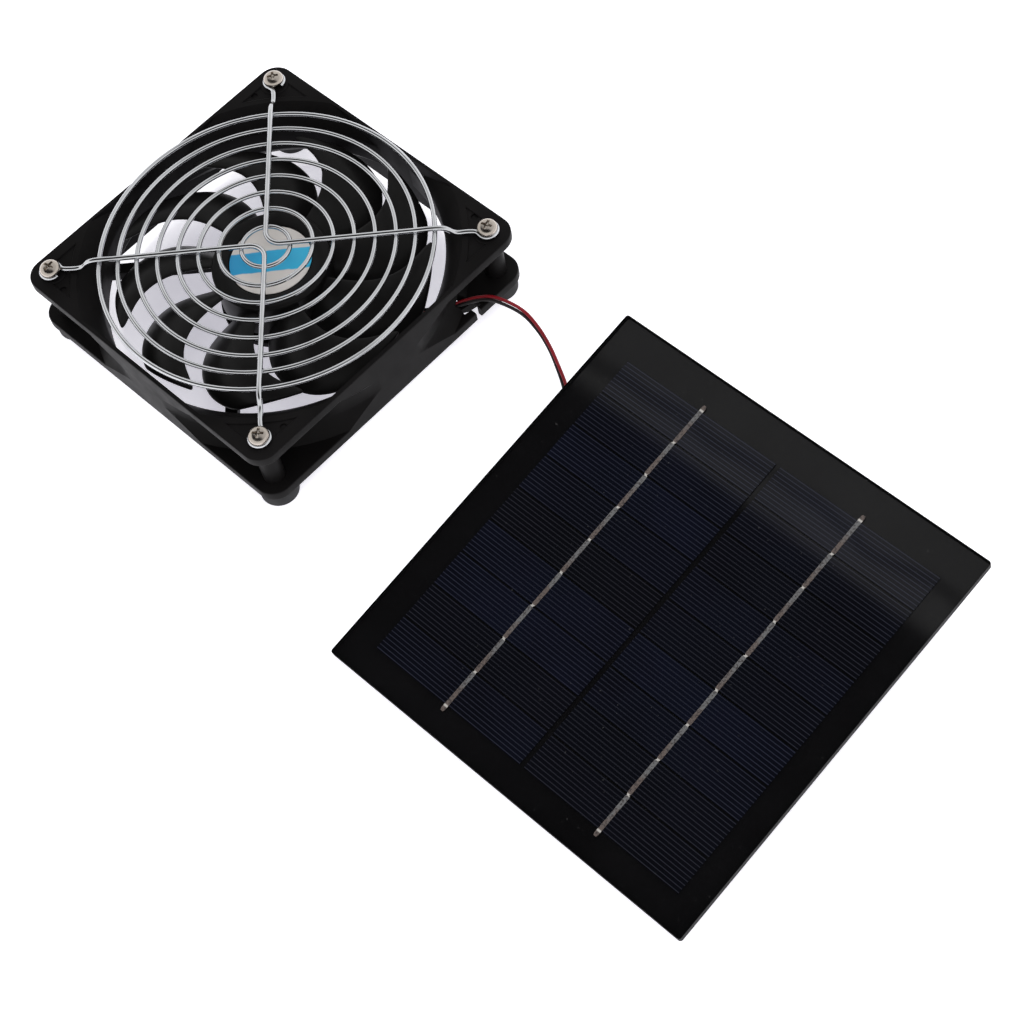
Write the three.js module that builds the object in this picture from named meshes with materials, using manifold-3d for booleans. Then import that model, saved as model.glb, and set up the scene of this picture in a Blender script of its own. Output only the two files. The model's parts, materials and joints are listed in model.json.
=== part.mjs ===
// A small solar-driven attic fan: a 120 mm axial fan on four feet, with a wire finger guard on top,
// and the solar panel that feeds it through a red and black twin lead.
// Units are millimetres, +Z is up and the table is Z = 0. The origin is under the middle of the whole set.
import * as THREE from "three";
import { mergeVertices } from "three/addons/utils/BufferGeometryUtils.js";
import Module from "manifold-3d";

const wasm = await Module();
wasm.setup();

const DEG = Math.PI / 180;

// ---------------------------------------------------------------- driving dimensions

// Where the two halves of the set stand: the fan's axis, and the middle of the panel's low edge.
const FAN_AXIS = [-97.4, 11.6];
const PANEL_FOOT = [84.9, -71.3];
const PANEL_YAW = 0.5 * DEG;

// Fan frame.
const FRAME = {
  side: 120,
  corner: 7,
  depth: 25,
  flange: 4,
  hole: 52.5, // the screw holes' distance from the axis, along X and along Y
  holeRadius: 2.15,
  postRadius: 3.7,
  bore: 59,
  boreFlat: 58.6, // the bore is cut flat here, behind the middle of each side
  duct: 60.6,
  mouth: 65.7,
  mouthDepth: 8,
  mouthBend: [4.5, 3.2], // the lip's control point: inwards from its edge, and down from the face
  skinDepth: 6,
  flare: 4.2, // how far the duct's skin widens behind each flange
  pocketDepth: 0.6,
  pocketRim: 4.6,
  pocketCorner: 3,
  mouthRim: 2.2,
  postRim: 1.2,
};
const FOOT = { height: 6, radius: 6.6, bore: 2.2, sink: 4.2, screwSeat: 2.9, edge: 0.8 };
const GAP = 0.3;
const BASE_Z = FOOT.height;
const TOP_Z = BASE_Z + FRAME.depth;

// Motor base and its four slanted struts. The first strut carries the lead, in a groove.
const MOTOR = { radius: 21.3, plate: 2.6, tube: 5.2, tubeBore: 4.1, tubeTop: 19.9, board: 16.2 };
const STRUT = {
  width: 4.4,
  height: 4.2,
  hubAngle: -10,
  rimAngle: 30,
  sink: 3.8, // how far a strut runs on into the duct's wall
  groove: 3.2,
  grooveDepth: 1.9,
};
// Where the lead leaves the duct, and the slot beside it in the lower flange.
const WINDOW = { middle: [52.2, 33], angle: 54, length: 14, width: 4.6, height: 3.6, lift: 0.9 };
const LEAD_SLOT = {
  x: 56.5,
  y: 35.9,
  turn: -12 * DEG,
  width: 2.7,
  length: 6.6,
  stemX: 59,
  stemY: 36.3,
  stemWidth: 2.2,
};

// Shaft and bearings, heights above the table.
const SHAFT = { radius: 1.5, boss: 3.1, bossLow: 21.2, low: 7.2, top: 25.4 };
const CLIP = { groove: 1.1, outer: 2.5, inner: 1.2, low: 7.95, thick: 0.4, opening: 25 };
const BEARING = { outer: 4, inner: 1.6, height: 3.8, seats: [8.9, 15.9] };
const SHOULDER = { radius: 2.9, low: 12.9, high: 15.7 };
const STATOR = { radius: 13.6, low: 12.4, high: 18.4, poles: 4, turn: 20, armWidth: 4, armInner: 5.4 };
const SHOE = { core: 7, thick: 2, gap: 3.2 };
const WINDING = { place: 9.4, length: 3, build: 1.4, clear: 0.25, linkInner: 7.7, linkOuter: 8.5 };
const MAGNET = { inner: 14.4, outer: 16.4, low: 12.2, high: 20.2 };
const YOKE = { inner: 16.7, outer: 18.5, low: 12.4, high: 25.1, roof: 1.2, eye: 3.6 };

// Impeller. Angles are in degrees about the axis, heights are measured down from the frame's top.
const HUB = { radius: 20.5, top: 4, height: 15, wall: 1.6, labelRadius: 14.4, recess: 0.5 };
const BLADE = {
  count: 9,
  tip: 54.8,
  leadAngle: [263.4, 3.2, 1.8, 24.3], // polynomial along the blade, from root to tip
  chordAngle: [36.7, -7.9, 4.9],
  leadDrop: [6.4, -0.3],
  trailDrop: [18.2, -3.3],
  camber: 2.4,
  halfThickness: 0.75,
  leadTipRadius: 6,
  trailTipRadius: 5.3,
};

// Wire finger guard: eight rings welded under two bent wires, each ending in two open eyes.
const GUARD = {
  rings: [8.3, 16, 23, 30, 37, 44, 50.5, 57],
  ringWire: 0.8,
  spokeWire: 0.9,
  ringHeight: 3.3,
  bend: 5.5,
  stepStart: 59.5,
  stepEnd: 64,
  eye: 3.2,
  eyeHeight: 1.05,
  eyeStart: 150 * DEG,
  eyeWrap: 285 * DEG,
  weld: 0.45, // how far the wires sink into each other where they are welded
};
const SCREW = {
  head: 3.6,
  headHeight: 2,
  shank: 1.9,
  length: 12,
  point: 0.5,
  slot: 0.9,
  slotDepth: 1.1,
  seatGap: 0.15,
};

// Solar panel. It leans on its junction box, so the box's height and place set the tilt.
const PANEL = { side: 145, corner: 1, board: 1.6, total: 3, film: 0.6, glue: 0.15 };
const CELL = { columns: 2, rows: 9, width: 61.5, height: 13.1, pitchX: 63.3, pitchY: 13.65, thick: 0.2 };
const CELL_MIDDLE = [0.8, -1.2];
const RIBBON = { width: 1.5, neck: 0.9, taper: 0.7, thick: 0.12, overrun: 2 };
const BOX = { width: 50, depth: 40, height: 15, start: 92, wall: 1.6, lid: 1.8 };
const BOX_BOSS = { radius: 2.6, bore: 1.3, inset: 2, y: 6 };
const DIODE = { barrel: 1.35, half: 2.6, leg: 0.4, reach: 9, x: 4, z: -4 };
const PANEL_TILT = Math.atan2(BOX.height, BOX.start);

// Twin lead, 1.16 mm over each wire's insulation. Between the fan and the coil it rolls over, the red
// wire upwards, and back again.
const WIRE = { radius: 0.58, pitch: 1.3, sides: 8, step: 3.6 };
const ROLL = { angle: 70 * DEG, from: 58, to: 110 };

// ---------------------------------------------------------------- materials

function finish(color, roughness, metalness) {
  return new THREE.MeshStandardMaterial({ color, roughness, metalness });
}

const BLACK_PLASTIC = finish(0x17171a, 0.45, 0);
const BLADE_PLASTIC = finish(0x121214, 0.4, 0);
const CHROME = finish(0xc8c9cc, 0.15, 1);
const NICKEL = finish(0xb9b3aa, 0.25, 1);
const STEEL = finish(0x8c8f93, 0.35, 1);
const FERRITE = finish(0x3a3a3d, 0.8, 0.2);
const COPPER = finish(0xb06a34, 0.3, 1);
const CIRCUIT_BOARD = finish(0x1f5c38, 0.5, 0);
const LABEL = finish(0xbfb9b4, 0.5, 0);
const RUBBER = finish(0x1b1b1d, 0.75, 0);
const CELL_BLUE = finish(0x0b0d20, 0.25, 0.1);
const CLEAR_FILM = finish(0x15161c, 0.08, 0);
const TINNED = finish(0x8f8a84, 0.35, 1);
const RED_PVC = finish(0x8c101c, 0.4, 0);
const BLACK_PVC = finish(0x16161a, 0.4, 0);

// ---------------------------------------------------------------- geometry helpers

function toSolid(geometry) {
  const bare = geometry.index ? geometry.toNonIndexed() : geometry.clone();
  bare.deleteAttribute("normal");
  bare.deleteAttribute("uv");
  const merged = mergeVertices(bare, 1e-4);
  const vertProperties = merged.attributes.position.array;
  const triVerts = new Uint32Array(merged.index.array);
  return new wasm.Manifold(new wasm.Mesh({ numProp: 3, vertProperties, triVerts }));
}

function toGeometry(solid) {
  const mesh = solid.getMesh();
  const geometry = new THREE.BufferGeometry();
  geometry.setAttribute("position", new THREE.BufferAttribute(mesh.vertProperties, 3));
  geometry.setIndex(new THREE.BufferAttribute(mesh.triVerts, 1));
  geometry.computeVertexNormals();
  return geometry;
}

function piece(name, geometry, material) {
  const mesh = new THREE.Mesh(geometry, material);
  mesh.name = name;
  return mesh;
}

// A solid of revolution about Z. The profile is a list of [radius, z], counter-clockwise with the
// radius drawn to the right, and it starts and ends on the axis or closes on itself.
function turned(profile, segments) {
  const points = profile.map(([radius, z]) => new THREE.Vector2(radius, z));
  return new THREE.LatheGeometry(points, segments).rotateX(Math.PI / 2);
}

// A round disc or a ring, as a closed profile.
function disc(radius, low, high) {
  return [[0, low], [radius, low], [radius, high], [0, high]];
}

function ring(inner, outer, low, high) {
  return [[inner, low], [outer, low], [outer, high], [inner, high], [inner, low]];
}

function prism(shape, low, high, curveSegments = 6) {
  const settings = { depth: high - low, bevelEnabled: false, curveSegments };
  return new THREE.ExtrudeGeometry(shape, settings).translate(0, 0, low);
}

function block(width, depth, height, x, y, z) {
  return new THREE.BoxGeometry(width, depth, height).translate(x, y, z);
}

function roundedSquare(half, radius) {
  const shape = new THREE.Shape();
  const straight = half - radius;
  shape.absarc(straight, straight, radius, 0, 90 * DEG);
  shape.absarc(-straight, straight, radius, 90 * DEG, 180 * DEG);
  shape.absarc(-straight, -straight, radius, 180 * DEG, 270 * DEG);
  shape.absarc(straight, -straight, radius, 270 * DEG, 360 * DEG);
  return shape;
}

function polygon(sides, radius) {
  const corners = [];
  for (let i = 0; i < sides; i++) {
    const angle = (2 * Math.PI * (i + 0.5)) / sides;
    corners.push(new THREE.Vector2(radius * Math.cos(angle), radius * Math.sin(angle)));
  }
  return new THREE.Shape(corners);
}

// A round wire that follows a curve.
function wireAlong(curve, radius, sides, steps) {
  const settings = { steps, extrudePath: curve, bevelEnabled: false };
  return new THREE.ExtrudeGeometry(polygon(sides, radius), settings);
}

function evaluate(coefficients, t) {
  return coefficients.reduce((sum, value, power) => sum + value * t ** power, 0);
}

function polar(radius, degrees) {
  return [radius * Math.cos(degrees * DEG), radius * Math.sin(degrees * DEG)];
}

// The four corners of the frame, counter-clockwise from +X +Y.
function atCorners(place) {
  return [[1, 1], [-1, 1], [-1, -1], [1, -1]].map(([sx, sy], i) => {
    return place(sx * FRAME.hole, sy * FRAME.hole, i);
  });
}

// ---------------------------------------------------------------- fan frame

// A slanted bar from the motor plate to the duct, as seen from above.
function strutBar(index, width, low, high) {
  const quarter = 90 * index;
  const [x0, y0] = polar(MOTOR.radius - 3, STRUT.hubAngle + quarter);
  const [x1, y1] = polar(FRAME.duct - 0.8, STRUT.rimAngle + quarter);
  const length = Math.hypot(x1 - x0, y1 - y0) + STRUT.sink;
  const bar = block(length, width, high - low, length / 2, 0, (low + high) / 2);
  return bar.rotateZ(Math.atan2(y1 - y0, x1 - x0)).translate(x0, y0, 0);
}

// The duct's outer skin follows the flared mouths, one wall's thickness outside them.
function ductSkin() {
  const low = BASE_Z - 1;
  const high = TOP_Z + 1;
  const wide = FRAME.duct + FRAME.flare;
  const profile = [
    [0, low],
    [wide, low],
    [wide, BASE_Z + FRAME.flange],
    [FRAME.duct, BASE_Z + FRAME.flange + FRAME.skinDepth],
    [FRAME.duct, TOP_Z - FRAME.flange - FRAME.skinDepth],
    [wide, TOP_Z - FRAME.flange],
    [wide, high],
    [0, high],
  ];
  return toSolid(turned(profile, 48));
}

// The air's way through: a plain bore that opens into a rounded mouth at each face.
function airWay() {
  const [bendIn, bendDown] = FRAME.mouthBend;
  const lip = new THREE.QuadraticBezierCurve(
    new THREE.Vector2(FRAME.mouth, 0),
    new THREE.Vector2(FRAME.mouth - bendIn, bendDown),
    new THREE.Vector2(FRAME.bore, FRAME.mouthDepth),
  );
  const mouth = (face, inward) => lip.getPoints(3).map(({ x, y }) => [x, face + inward * y]);
  const profile = [
    [0, BASE_Z - 1],
    [FRAME.mouth, BASE_Z - 1],
    ...mouth(BASE_Z, 1),
    ...mouth(TOP_Z, -1).reverse(),
    [FRAME.mouth, TOP_Z + 1],
    [0, TOP_Z + 1],
  ];
  const flat = 2 * FRAME.boreFlat;
  const square = toSolid(block(flat, flat, FRAME.depth + 4, 0, 0, BASE_Z + FRAME.depth / 2));
  return toSolid(turned(profile, 48)).intersect(square);
}

// Shallow corner pockets in the top face, inside a raised rim and outside the mouth.
function cornerPockets() {
  const floor = TOP_Z - FRAME.pocketDepth;
  const edge = FRAME.side / 2 - FRAME.pocketRim;
  const field = toSolid(prism(roundedSquare(edge, FRAME.pocketCorner), floor, TOP_Z + 1));
  const middle = toSolid(turned(disc(FRAME.mouth + FRAME.mouthRim, floor - 1, TOP_Z + 2), 48));
  let pockets = field.subtract(middle);
  atCorners((x, y) => {
    const radius = FRAME.postRadius + FRAME.postRim;
    const boss = turned(disc(radius, floor - 1, TOP_Z + 2), 20).translate(x, y, 0);
    pockets = pockets.subtract(toSolid(boss));
  });
  return pockets;
}

// The T-shaped slot in the lower flange that the lead can be pressed into.
function leadSlot() {
  const low = BASE_Z - 1;
  const high = BASE_Z + FRAME.flange + 1;
  const middle = (low + high) / 2;
  const { x, y, turn, width, length, stemX, stemY, stemWidth } = LEAD_SLOT;
  const cross = block(width, length, high - low, 0, 0, middle).rotateZ(turn).translate(x, y, 0);
  const stem = block(2 * (stemX - x), stemWidth, high - low, stemX, stemY, middle);
  return toSolid(cross).add(toSolid(stem));
}

// The lead's groove along the top of the first strut, and its window through the duct's skin.
function leadGroove() {
  const strutTop = BASE_Z + STRUT.height;
  const groove = strutBar(0, STRUT.groove, strutTop - STRUT.grooveDepth, strutTop + 1);
  const window = block(WINDOW.length, WINDOW.width, WINDOW.height, 0, 0, strutTop + WINDOW.lift);
  window.rotateZ(WINDOW.angle * DEG).translate(...WINDOW.middle, 0);
  return toSolid(groove).add(toSolid(window));
}

function fanFrame() {
  const outline = roundedSquare(FRAME.side / 2, FRAME.corner);
  const whole = toSolid(prism(outline, BASE_Z, TOP_Z));
  const lower = toSolid(prism(outline, BASE_Z, BASE_Z + FRAME.flange));
  const upper = toSolid(prism(outline, TOP_Z - FRAME.flange, TOP_Z));
  let frame = whole.intersect(ductSkin()).add(lower).add(upper);
  atCorners((x, y) => {
    const post = turned(disc(FRAME.postRadius, BASE_Z + 1, TOP_Z - 1), 20).translate(x, y, 0);
    frame = frame.add(toSolid(post));
  });
  frame = frame.subtract(airWay());
  frame = frame.subtract(cornerPockets());
  const plate = disc(MOTOR.radius, BASE_Z, BASE_Z + MOTOR.plate);
  frame = frame.add(toSolid(turned(plate, 40)));
  for (let i = 0; i < 4; i++) {
    frame = frame.add(toSolid(strutBar(i, STRUT.width, BASE_Z, BASE_Z + STRUT.height)));
  }
  frame = frame.subtract(leadGroove());
  const tube = disc(MOTOR.tube, BASE_Z + 1, MOTOR.tubeTop);
  frame = frame.add(toSolid(turned(tube, 24)));
  frame = frame.subtract(bearingBore());
  atCorners((x, y) => {
    const hole = turned(disc(FRAME.holeRadius, BASE_Z - 1, TOP_Z + 1), 16).translate(x, y, 0);
    frame = frame.subtract(toSolid(hole));
  });
  return toGeometry(frame.subtract(leadSlot()));
}

// The bearing tube's bore has a shoulder between the two bearings, and a recess for the rear label.
function bearingBore() {
  const recess = BASE_Z + 0.6;
  const profile = [
    [0, BASE_Z - 1],
    [HUB.labelRadius, BASE_Z - 1],
    [HUB.labelRadius, recess],
    [MOTOR.tubeBore, recess],
    [MOTOR.tubeBore, SHOULDER.low],
    [SHOULDER.radius, SHOULDER.low],
    [SHOULDER.radius, SHOULDER.high],
    [MOTOR.tubeBore, SHOULDER.high],
    [MOTOR.tubeBore, MOTOR.tubeTop + 1],
    [0, MOTOR.tubeTop + 1],
  ];
  return toSolid(turned(profile, 24));
}

// ---------------------------------------------------------------- impeller

// How far a rounded corner cuts in at a given distance from the tip.
function cornerCut(radius, fromTip) {
  if (fromTip >= radius) return 0;
  return radius - Math.sqrt(radius ** 2 - (radius - fromTip) ** 2);
}

// One blade: a thin curved plate between its leading edge, which is high, and its trailing edge.
function blade(index) {
  const stations = [0, 0.2, 0.42, 0.65, 0.8, 0.9, 0.96, 0.99, 1];
  const columns = 5;
  const root = HUB.radius - 1;
  const positions = [];
  for (const side of [1, -1]) {
    for (const t of stations) {
      const radius = root + (BLADE.tip - root) * t;
      const lead = evaluate(BLADE.leadAngle, t) + (360 / BLADE.count) * index;
      const chord = evaluate(BLADE.chordAngle, t);
      const arc = radius * chord * DEG;
      const first = cornerCut(BLADE.leadTipRadius, BLADE.tip - radius) / arc;
      const last = 1 - cornerCut(BLADE.trailTipRadius, BLADE.tip - radius) / arc;
      for (let column = 0; column < columns; column++) {
        const across = first + ((last - first) * column) / (columns - 1);
        const [x, y] = polar(radius, lead - chord * across);
        const drop = evaluate(BLADE.leadDrop, t) * (1 - across) + evaluate(BLADE.trailDrop, t) * across;
        const crown = 4 * BLADE.camber * across * (1 - across);
        const thin = BLADE.halfThickness * (1 - 0.45 * (2 * across - 1) ** 2);
        positions.push(x, y, TOP_Z - drop + crown + side * thin);
      }
    }
  }
  return toSolid(skinOfTwoSheets(positions, stations.length, columns));
}

// Closes two facing grids of points, the upper one first, into one thin solid.
function skinOfTwoSheets(positions, rows, columns) {
  const at = (sheet, row, column) => (sheet * rows + row) * columns + column;
  const triangles = [];
  const quad = (a, b, c, d) => triangles.push(a, b, c, a, c, d);
  for (let r = 0; r < rows - 1; r++) {
    for (let c = 0; c < columns - 1; c++) {
      quad(at(0, r, c), at(0, r, c + 1), at(0, r + 1, c + 1), at(0, r + 1, c));
      quad(at(1, r, c), at(1, r + 1, c), at(1, r + 1, c + 1), at(1, r, c + 1));
    }
    quad(at(0, r, 0), at(0, r + 1, 0), at(1, r + 1, 0), at(1, r, 0));
    const end = columns - 1;
    quad(at(0, r, end), at(1, r, end), at(1, r + 1, end), at(0, r + 1, end));
  }
  for (let c = 0; c < columns - 1; c++) {
    const end = rows - 1;
    quad(at(0, 0, c), at(1, 0, c), at(1, 0, c + 1), at(0, 0, c + 1));
    quad(at(0, end, c), at(0, end, c + 1), at(1, end, c + 1), at(1, end, c));
  }
  const geometry = new THREE.BufferGeometry();
  geometry.setAttribute("position", new THREE.Float32BufferAttribute(positions, 3));
  geometry.setIndex(triangles);
  return geometry;
}

function impeller() {
  const top = TOP_Z - HUB.top;
  const low = top - HUB.height;
  const inner = HUB.radius - HUB.wall;
  const fit = 0.1;
  const edge = 1;
  const recess = HUB.labelRadius + GAP;
  const cup = [
    [SHAFT.radius + fit, SHAFT.bossLow],
    [SHAFT.boss, SHAFT.bossLow],
    [SHAFT.boss, top - HUB.wall],
    [inner, top - HUB.wall],
    [inner, low],
    [HUB.radius, low],
    [HUB.radius, top - edge],
    [HUB.radius - edge, top],
    [recess, top],
    [recess, top - HUB.recess],
    [0, top - HUB.recess],
    [0, SHAFT.top + fit],
    [SHAFT.radius + fit, SHAFT.top + fit],
    [SHAFT.radius + fit, SHAFT.bossLow],
  ];
  let whole = toSolid(turned(cup, 40));
  const insideWall = (inner + HUB.radius) / 2 - 0.4;
  const core = toSolid(turned(disc(insideWall, 0, TOP_Z + 5), 40));
  for (let i = 0; i < BLADE.count; i++) {
    whole = whole.add(blade(i).subtract(core));
  }
  return toGeometry(whole);
}

// ---------------------------------------------------------------- motor

function shaft() {
  const chamfer = 0.3;
  const side = 0.15;
  const grooveLow = CLIP.low - side;
  const grooveHigh = CLIP.low + CLIP.thick + side;
  return turned([
    [0, SHAFT.low],
    [SHAFT.radius - chamfer, SHAFT.low],
    [SHAFT.radius, SHAFT.low + chamfer],
    [SHAFT.radius, grooveLow],
    [CLIP.groove, grooveLow],
    [CLIP.groove, grooveHigh],
    [SHAFT.radius, grooveHigh],
    [SHAFT.radius, SHAFT.top - chamfer],
    [SHAFT.radius - chamfer, SHAFT.top],
    [0, SHAFT.top],
  ], 16);
}

// An open clip that snaps into the groove at the shaft's lower end.
function retainingClip() {
  const start = CLIP.opening * DEG;
  const end = (360 - CLIP.opening) * DEG;
  const shape = new THREE.Shape();
  shape.absarc(0, 0, CLIP.outer, start, end);
  shape.absarc(0, 0, CLIP.inner, end, start, true);
  return prism(shape, CLIP.low, CLIP.low + CLIP.thick, 8);
}

function bearing(seat) {
  const chamfer = 0.3;
  const high = seat + BEARING.height;
  return turned([
    [BEARING.inner, seat],
    [BEARING.outer - chamfer, seat],
    [BEARING.outer, seat + chamfer],
    [BEARING.outer, high - chamfer],
    [BEARING.outer - chamfer, high],
    [BEARING.inner, high],
    [BEARING.inner, seat],
  ], 20);
}

// A thin washer between the upper bearing and the impeller's boss.
function thrustWasher() {
  const low = BEARING.seats[1] + BEARING.height + GAP;
  return turned(ring(SHAFT.radius + GAP, SHAFT.boss - 0.1, low, low + 0.5), 20);
}

// Four poles with curved shoes on a round core, cut from a stack of sheet.
function statorCore() {
  const { low, high } = STATOR;
  const middle = (low + high) / 2;
  let core = toSolid(turned(disc(SHOE.core, low, high), 24));
  const shoes = toSolid(turned(ring(STATOR.radius - SHOE.thick, STATOR.radius, low, high), 32));
  let gaps = null;
  for (let i = 0; i < STATOR.poles; i++) {
    const angle = (90 * i + STATOR.turn) * DEG;
    const arm = block(STATOR.radius - SHOE.thick, STATOR.armWidth, high - low, STATOR.radius / 2, 0, middle);
    core = core.add(toSolid(arm.rotateZ(angle)));
    const slot = block(3 * SHOE.thick, SHOE.gap, high - low + 2, STATOR.radius, 0, middle);
    const cut = toSolid(slot.rotateZ(angle + 45 * DEG));
    gaps = gaps ? gaps.add(cut) : cut;
  }
  core = core.add(shoes.subtract(gaps));
  const eye = turned(disc(STATOR.armInner, low - 1, high + 1), 24);
  return toGeometry(core.subtract(toSolid(eye)));
}

// Four coils, one round each pole, joined by the link wires of one winding.
function statorWinding() {
  const middle = (STATOR.low + STATOR.high) / 2;
  const tall = STATOR.high - STATOR.low;
  const { place, length, build, clear } = WINDING;
  const linkLow = STATOR.low - build - GAP;
  let winding = toSolid(turned(ring(WINDING.linkInner, WINDING.linkOuter, linkLow, linkLow + 0.7), 32));
  for (let i = 0; i < STATOR.poles; i++) {
    const angle = (90 * i + STATOR.turn) * DEG;
    const outer = block(length, STATOR.armWidth + 2 * build, tall + 3, place, 0, middle);
    const inner = block(length + 2, STATOR.armWidth + 2 * clear, tall + 2 * clear, place, 0, middle);
    winding = winding.add(toSolid(outer.rotateZ(angle)).subtract(toSolid(inner.rotateZ(angle))));
  }
  return toGeometry(winding);
}

function motorBoard() {
  const low = BASE_Z + MOTOR.plate + GAP;
  return turned(ring(MOTOR.tube + GAP, MOTOR.board, low, low + 0.9), 32);
}

function rotorYoke() {
  const roof = YOKE.high - YOKE.roof;
  return turned([
    [YOKE.inner, YOKE.low],
    [YOKE.outer, YOKE.low],
    [YOKE.outer, YOKE.high],
    [YOKE.eye, YOKE.high],
    [YOKE.eye, roof],
    [YOKE.inner, roof],
    [YOKE.inner, YOKE.low],
  ], 32);
}

// ---------------------------------------------------------------- finger guard and fasteners

// One bent guard wire, as a list of points from one eye's open end to the other's. It lies in the
// half of the guard on the +turn side of the diagonals and bends through a right angle at the middle.
function guardWirePoints(turn) {
  const level = TOP_Z + GUARD.ringHeight + GUARD.ringWire + GUARD.spokeWire - GUARD.weld;
  const eyeLevel = TOP_Z + GUARD.eyeHeight;
  const centre = Math.hypot(FRAME.hole, FRAME.hole);
  const half = (wayIn) => {
    const points = [];
    for (let i = 8; i >= 0; i--) {
      const angle = GUARD.eyeStart - (i * GUARD.eyeWrap) / 8;
      points.push([centre + GUARD.eye * Math.cos(angle), GUARD.eye * Math.sin(angle), eyeLevel]);
    }
    const stride = GUARD.stepEnd - GUARD.stepStart;
    points.push([centre - GUARD.eye * 1.25, GUARD.eye * 0.13, eyeLevel]);
    points.push([centre - GUARD.eye * 2, 0, eyeLevel]);
    points.push([GUARD.stepEnd + 0.5, 0, eyeLevel]);
    points.push([GUARD.stepStart + stride * 0.75, 0, eyeLevel + (level - eyeLevel) * 0.2]);
    points.push([GUARD.stepStart + stride * 0.25, 0, eyeLevel + (level - eyeLevel) * 0.8]);
    points.push([GUARD.stepStart - 1, 0, level]);
    for (const u of [50, 38, 26, 16, GUARD.bend + 1.5]) points.push([u, 0, level]);
    return points.map(([u, w, z]) => {
      const side = wayIn === 0 ? 1 : -1;
      const angle = turn + (wayIn === 0 ? 45 : -45) * DEG;
      const across = w * side;
      return new THREE.Vector3(
        u * Math.cos(angle) - across * Math.sin(angle),
        u * Math.sin(angle) + across * Math.cos(angle),
        z,
      );
    });
  };
  const bend = [];
  const pivot = GUARD.bend * Math.SQRT2;
  for (const degrees of [205, 180, 155]) {
    const angle = turn + degrees * DEG;
    const x = pivot * Math.cos(turn) + GUARD.bend * Math.cos(angle);
    const y = pivot * Math.sin(turn) + GUARD.bend * Math.sin(angle);
    bend.push(new THREE.Vector3(x, y, level));
  }
  return [...half(1), ...bend, ...half(0).reverse()];
}

function wireGuard() {
  let guard = null;
  for (const radius of GUARD.rings) {
    const around = Math.round(10 + radius * 0.3);
    const torus = new THREE.TorusGeometry(radius, GUARD.ringWire, 5, around);
    const loop = toSolid(torus.translate(0, 0, TOP_Z + GUARD.ringHeight));
    guard = guard ? guard.add(loop) : loop;
  }
  for (const turn of [90, 270]) {
    const curve = new THREE.CatmullRomCurve3(guardWirePoints(turn * DEG), false, "centripetal");
    guard = guard.add(toSolid(wireAlong(curve, GUARD.spokeWire, 6, 88)));
  }
  return toGeometry(guard);
}

// A pan-head screw with a cross recess, standing on Z = 0 under its head, its shank downwards.
function panHeadScrew(length) {
  const crown = [];
  for (let step = 0; step <= 2; step++) {
    const angle = (step / 2) * 70 * DEG;
    const narrowing = 0.72 * (1 - Math.cos(angle));
    crown.push([SCREW.head * (1 - narrowing), SCREW.headHeight * Math.sin(angle)]);
  }
  const profile = [
    [0, -length],
    [SCREW.point, -length],
    [SCREW.shank, -length + SCREW.shank],
    [SCREW.shank, 0],
    [SCREW.head, 0],
    ...crown.slice(1),
    [0, SCREW.headHeight],
  ];
  let screw = toSolid(turned(profile, 12));
  for (const quarter of [0, 90]) {
    const arm = block(4, SCREW.slot, 2, 0, 0, SCREW.headHeight + 1 - SCREW.slotDepth);
    screw = screw.subtract(toSolid(arm.rotateZ(quarter * DEG)));
  }
  return toGeometry(screw);
}

// A round foot, bored for the screw that holds it, with the screw's head sunk in its underside.
function foot() {
  const top = FOOT.height - GAP;
  return turned([
    [FOOT.bore, FOOT.screwSeat],
    [FOOT.sink, FOOT.screwSeat],
    [FOOT.sink, 0],
    [FOOT.radius - FOOT.edge, 0],
    [FOOT.radius, FOOT.edge],
    [FOOT.radius, top - FOOT.edge],
    [FOOT.radius - FOOT.edge, top],
    [FOOT.bore, top],
    [FOOT.bore, FOOT.screwSeat],
  ], 18);
}

// ---------------------------------------------------------------- solar panel

// The panel's own frame: X along its low edge, Y up its slope, Z out of its face, and the origin at
// the middle of the low edge, on the underside of the board.

function panelPlate(low, high) {
  const half = PANEL.side / 2;
  return prism(roundedSquare(half, PANEL.corner), low, high, 3).translate(0, half, 0);
}

// The clear front film, hollow underneath for the cells.
function frontFilm() {
  const low = PANEL.board + PANEL.glue;
  const width = CELL.columns * CELL.pitchX + 2;
  const depth = CELL.rows * CELL.pitchY + 2 * (RIBBON.overrun + 1);
  const [x, y] = CELL_MIDDLE;
  const roof = PANEL.total - PANEL.film;
  const hollow = block(width, depth, roof - low + 1, x, PANEL.side / 2 + y, (low + roof - 1) / 2);
  return toGeometry(toSolid(panelPlate(low, PANEL.total)).subtract(toSolid(hollow)));
}

// The height of the cells' middle over the underside of the board.
const CELL_LEVEL = PANEL.board + 0.25 + CELL.thick / 2;

function cellCentre(column, row) {
  const x = CELL_MIDDLE[0] + (column - (CELL.columns - 1) / 2) * CELL.pitchX;
  const y = PANEL.side / 2 + CELL_MIDDLE[1] + (row - (CELL.rows - 1) / 2) * CELL.pitchY;
  return [x, y];
}

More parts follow.
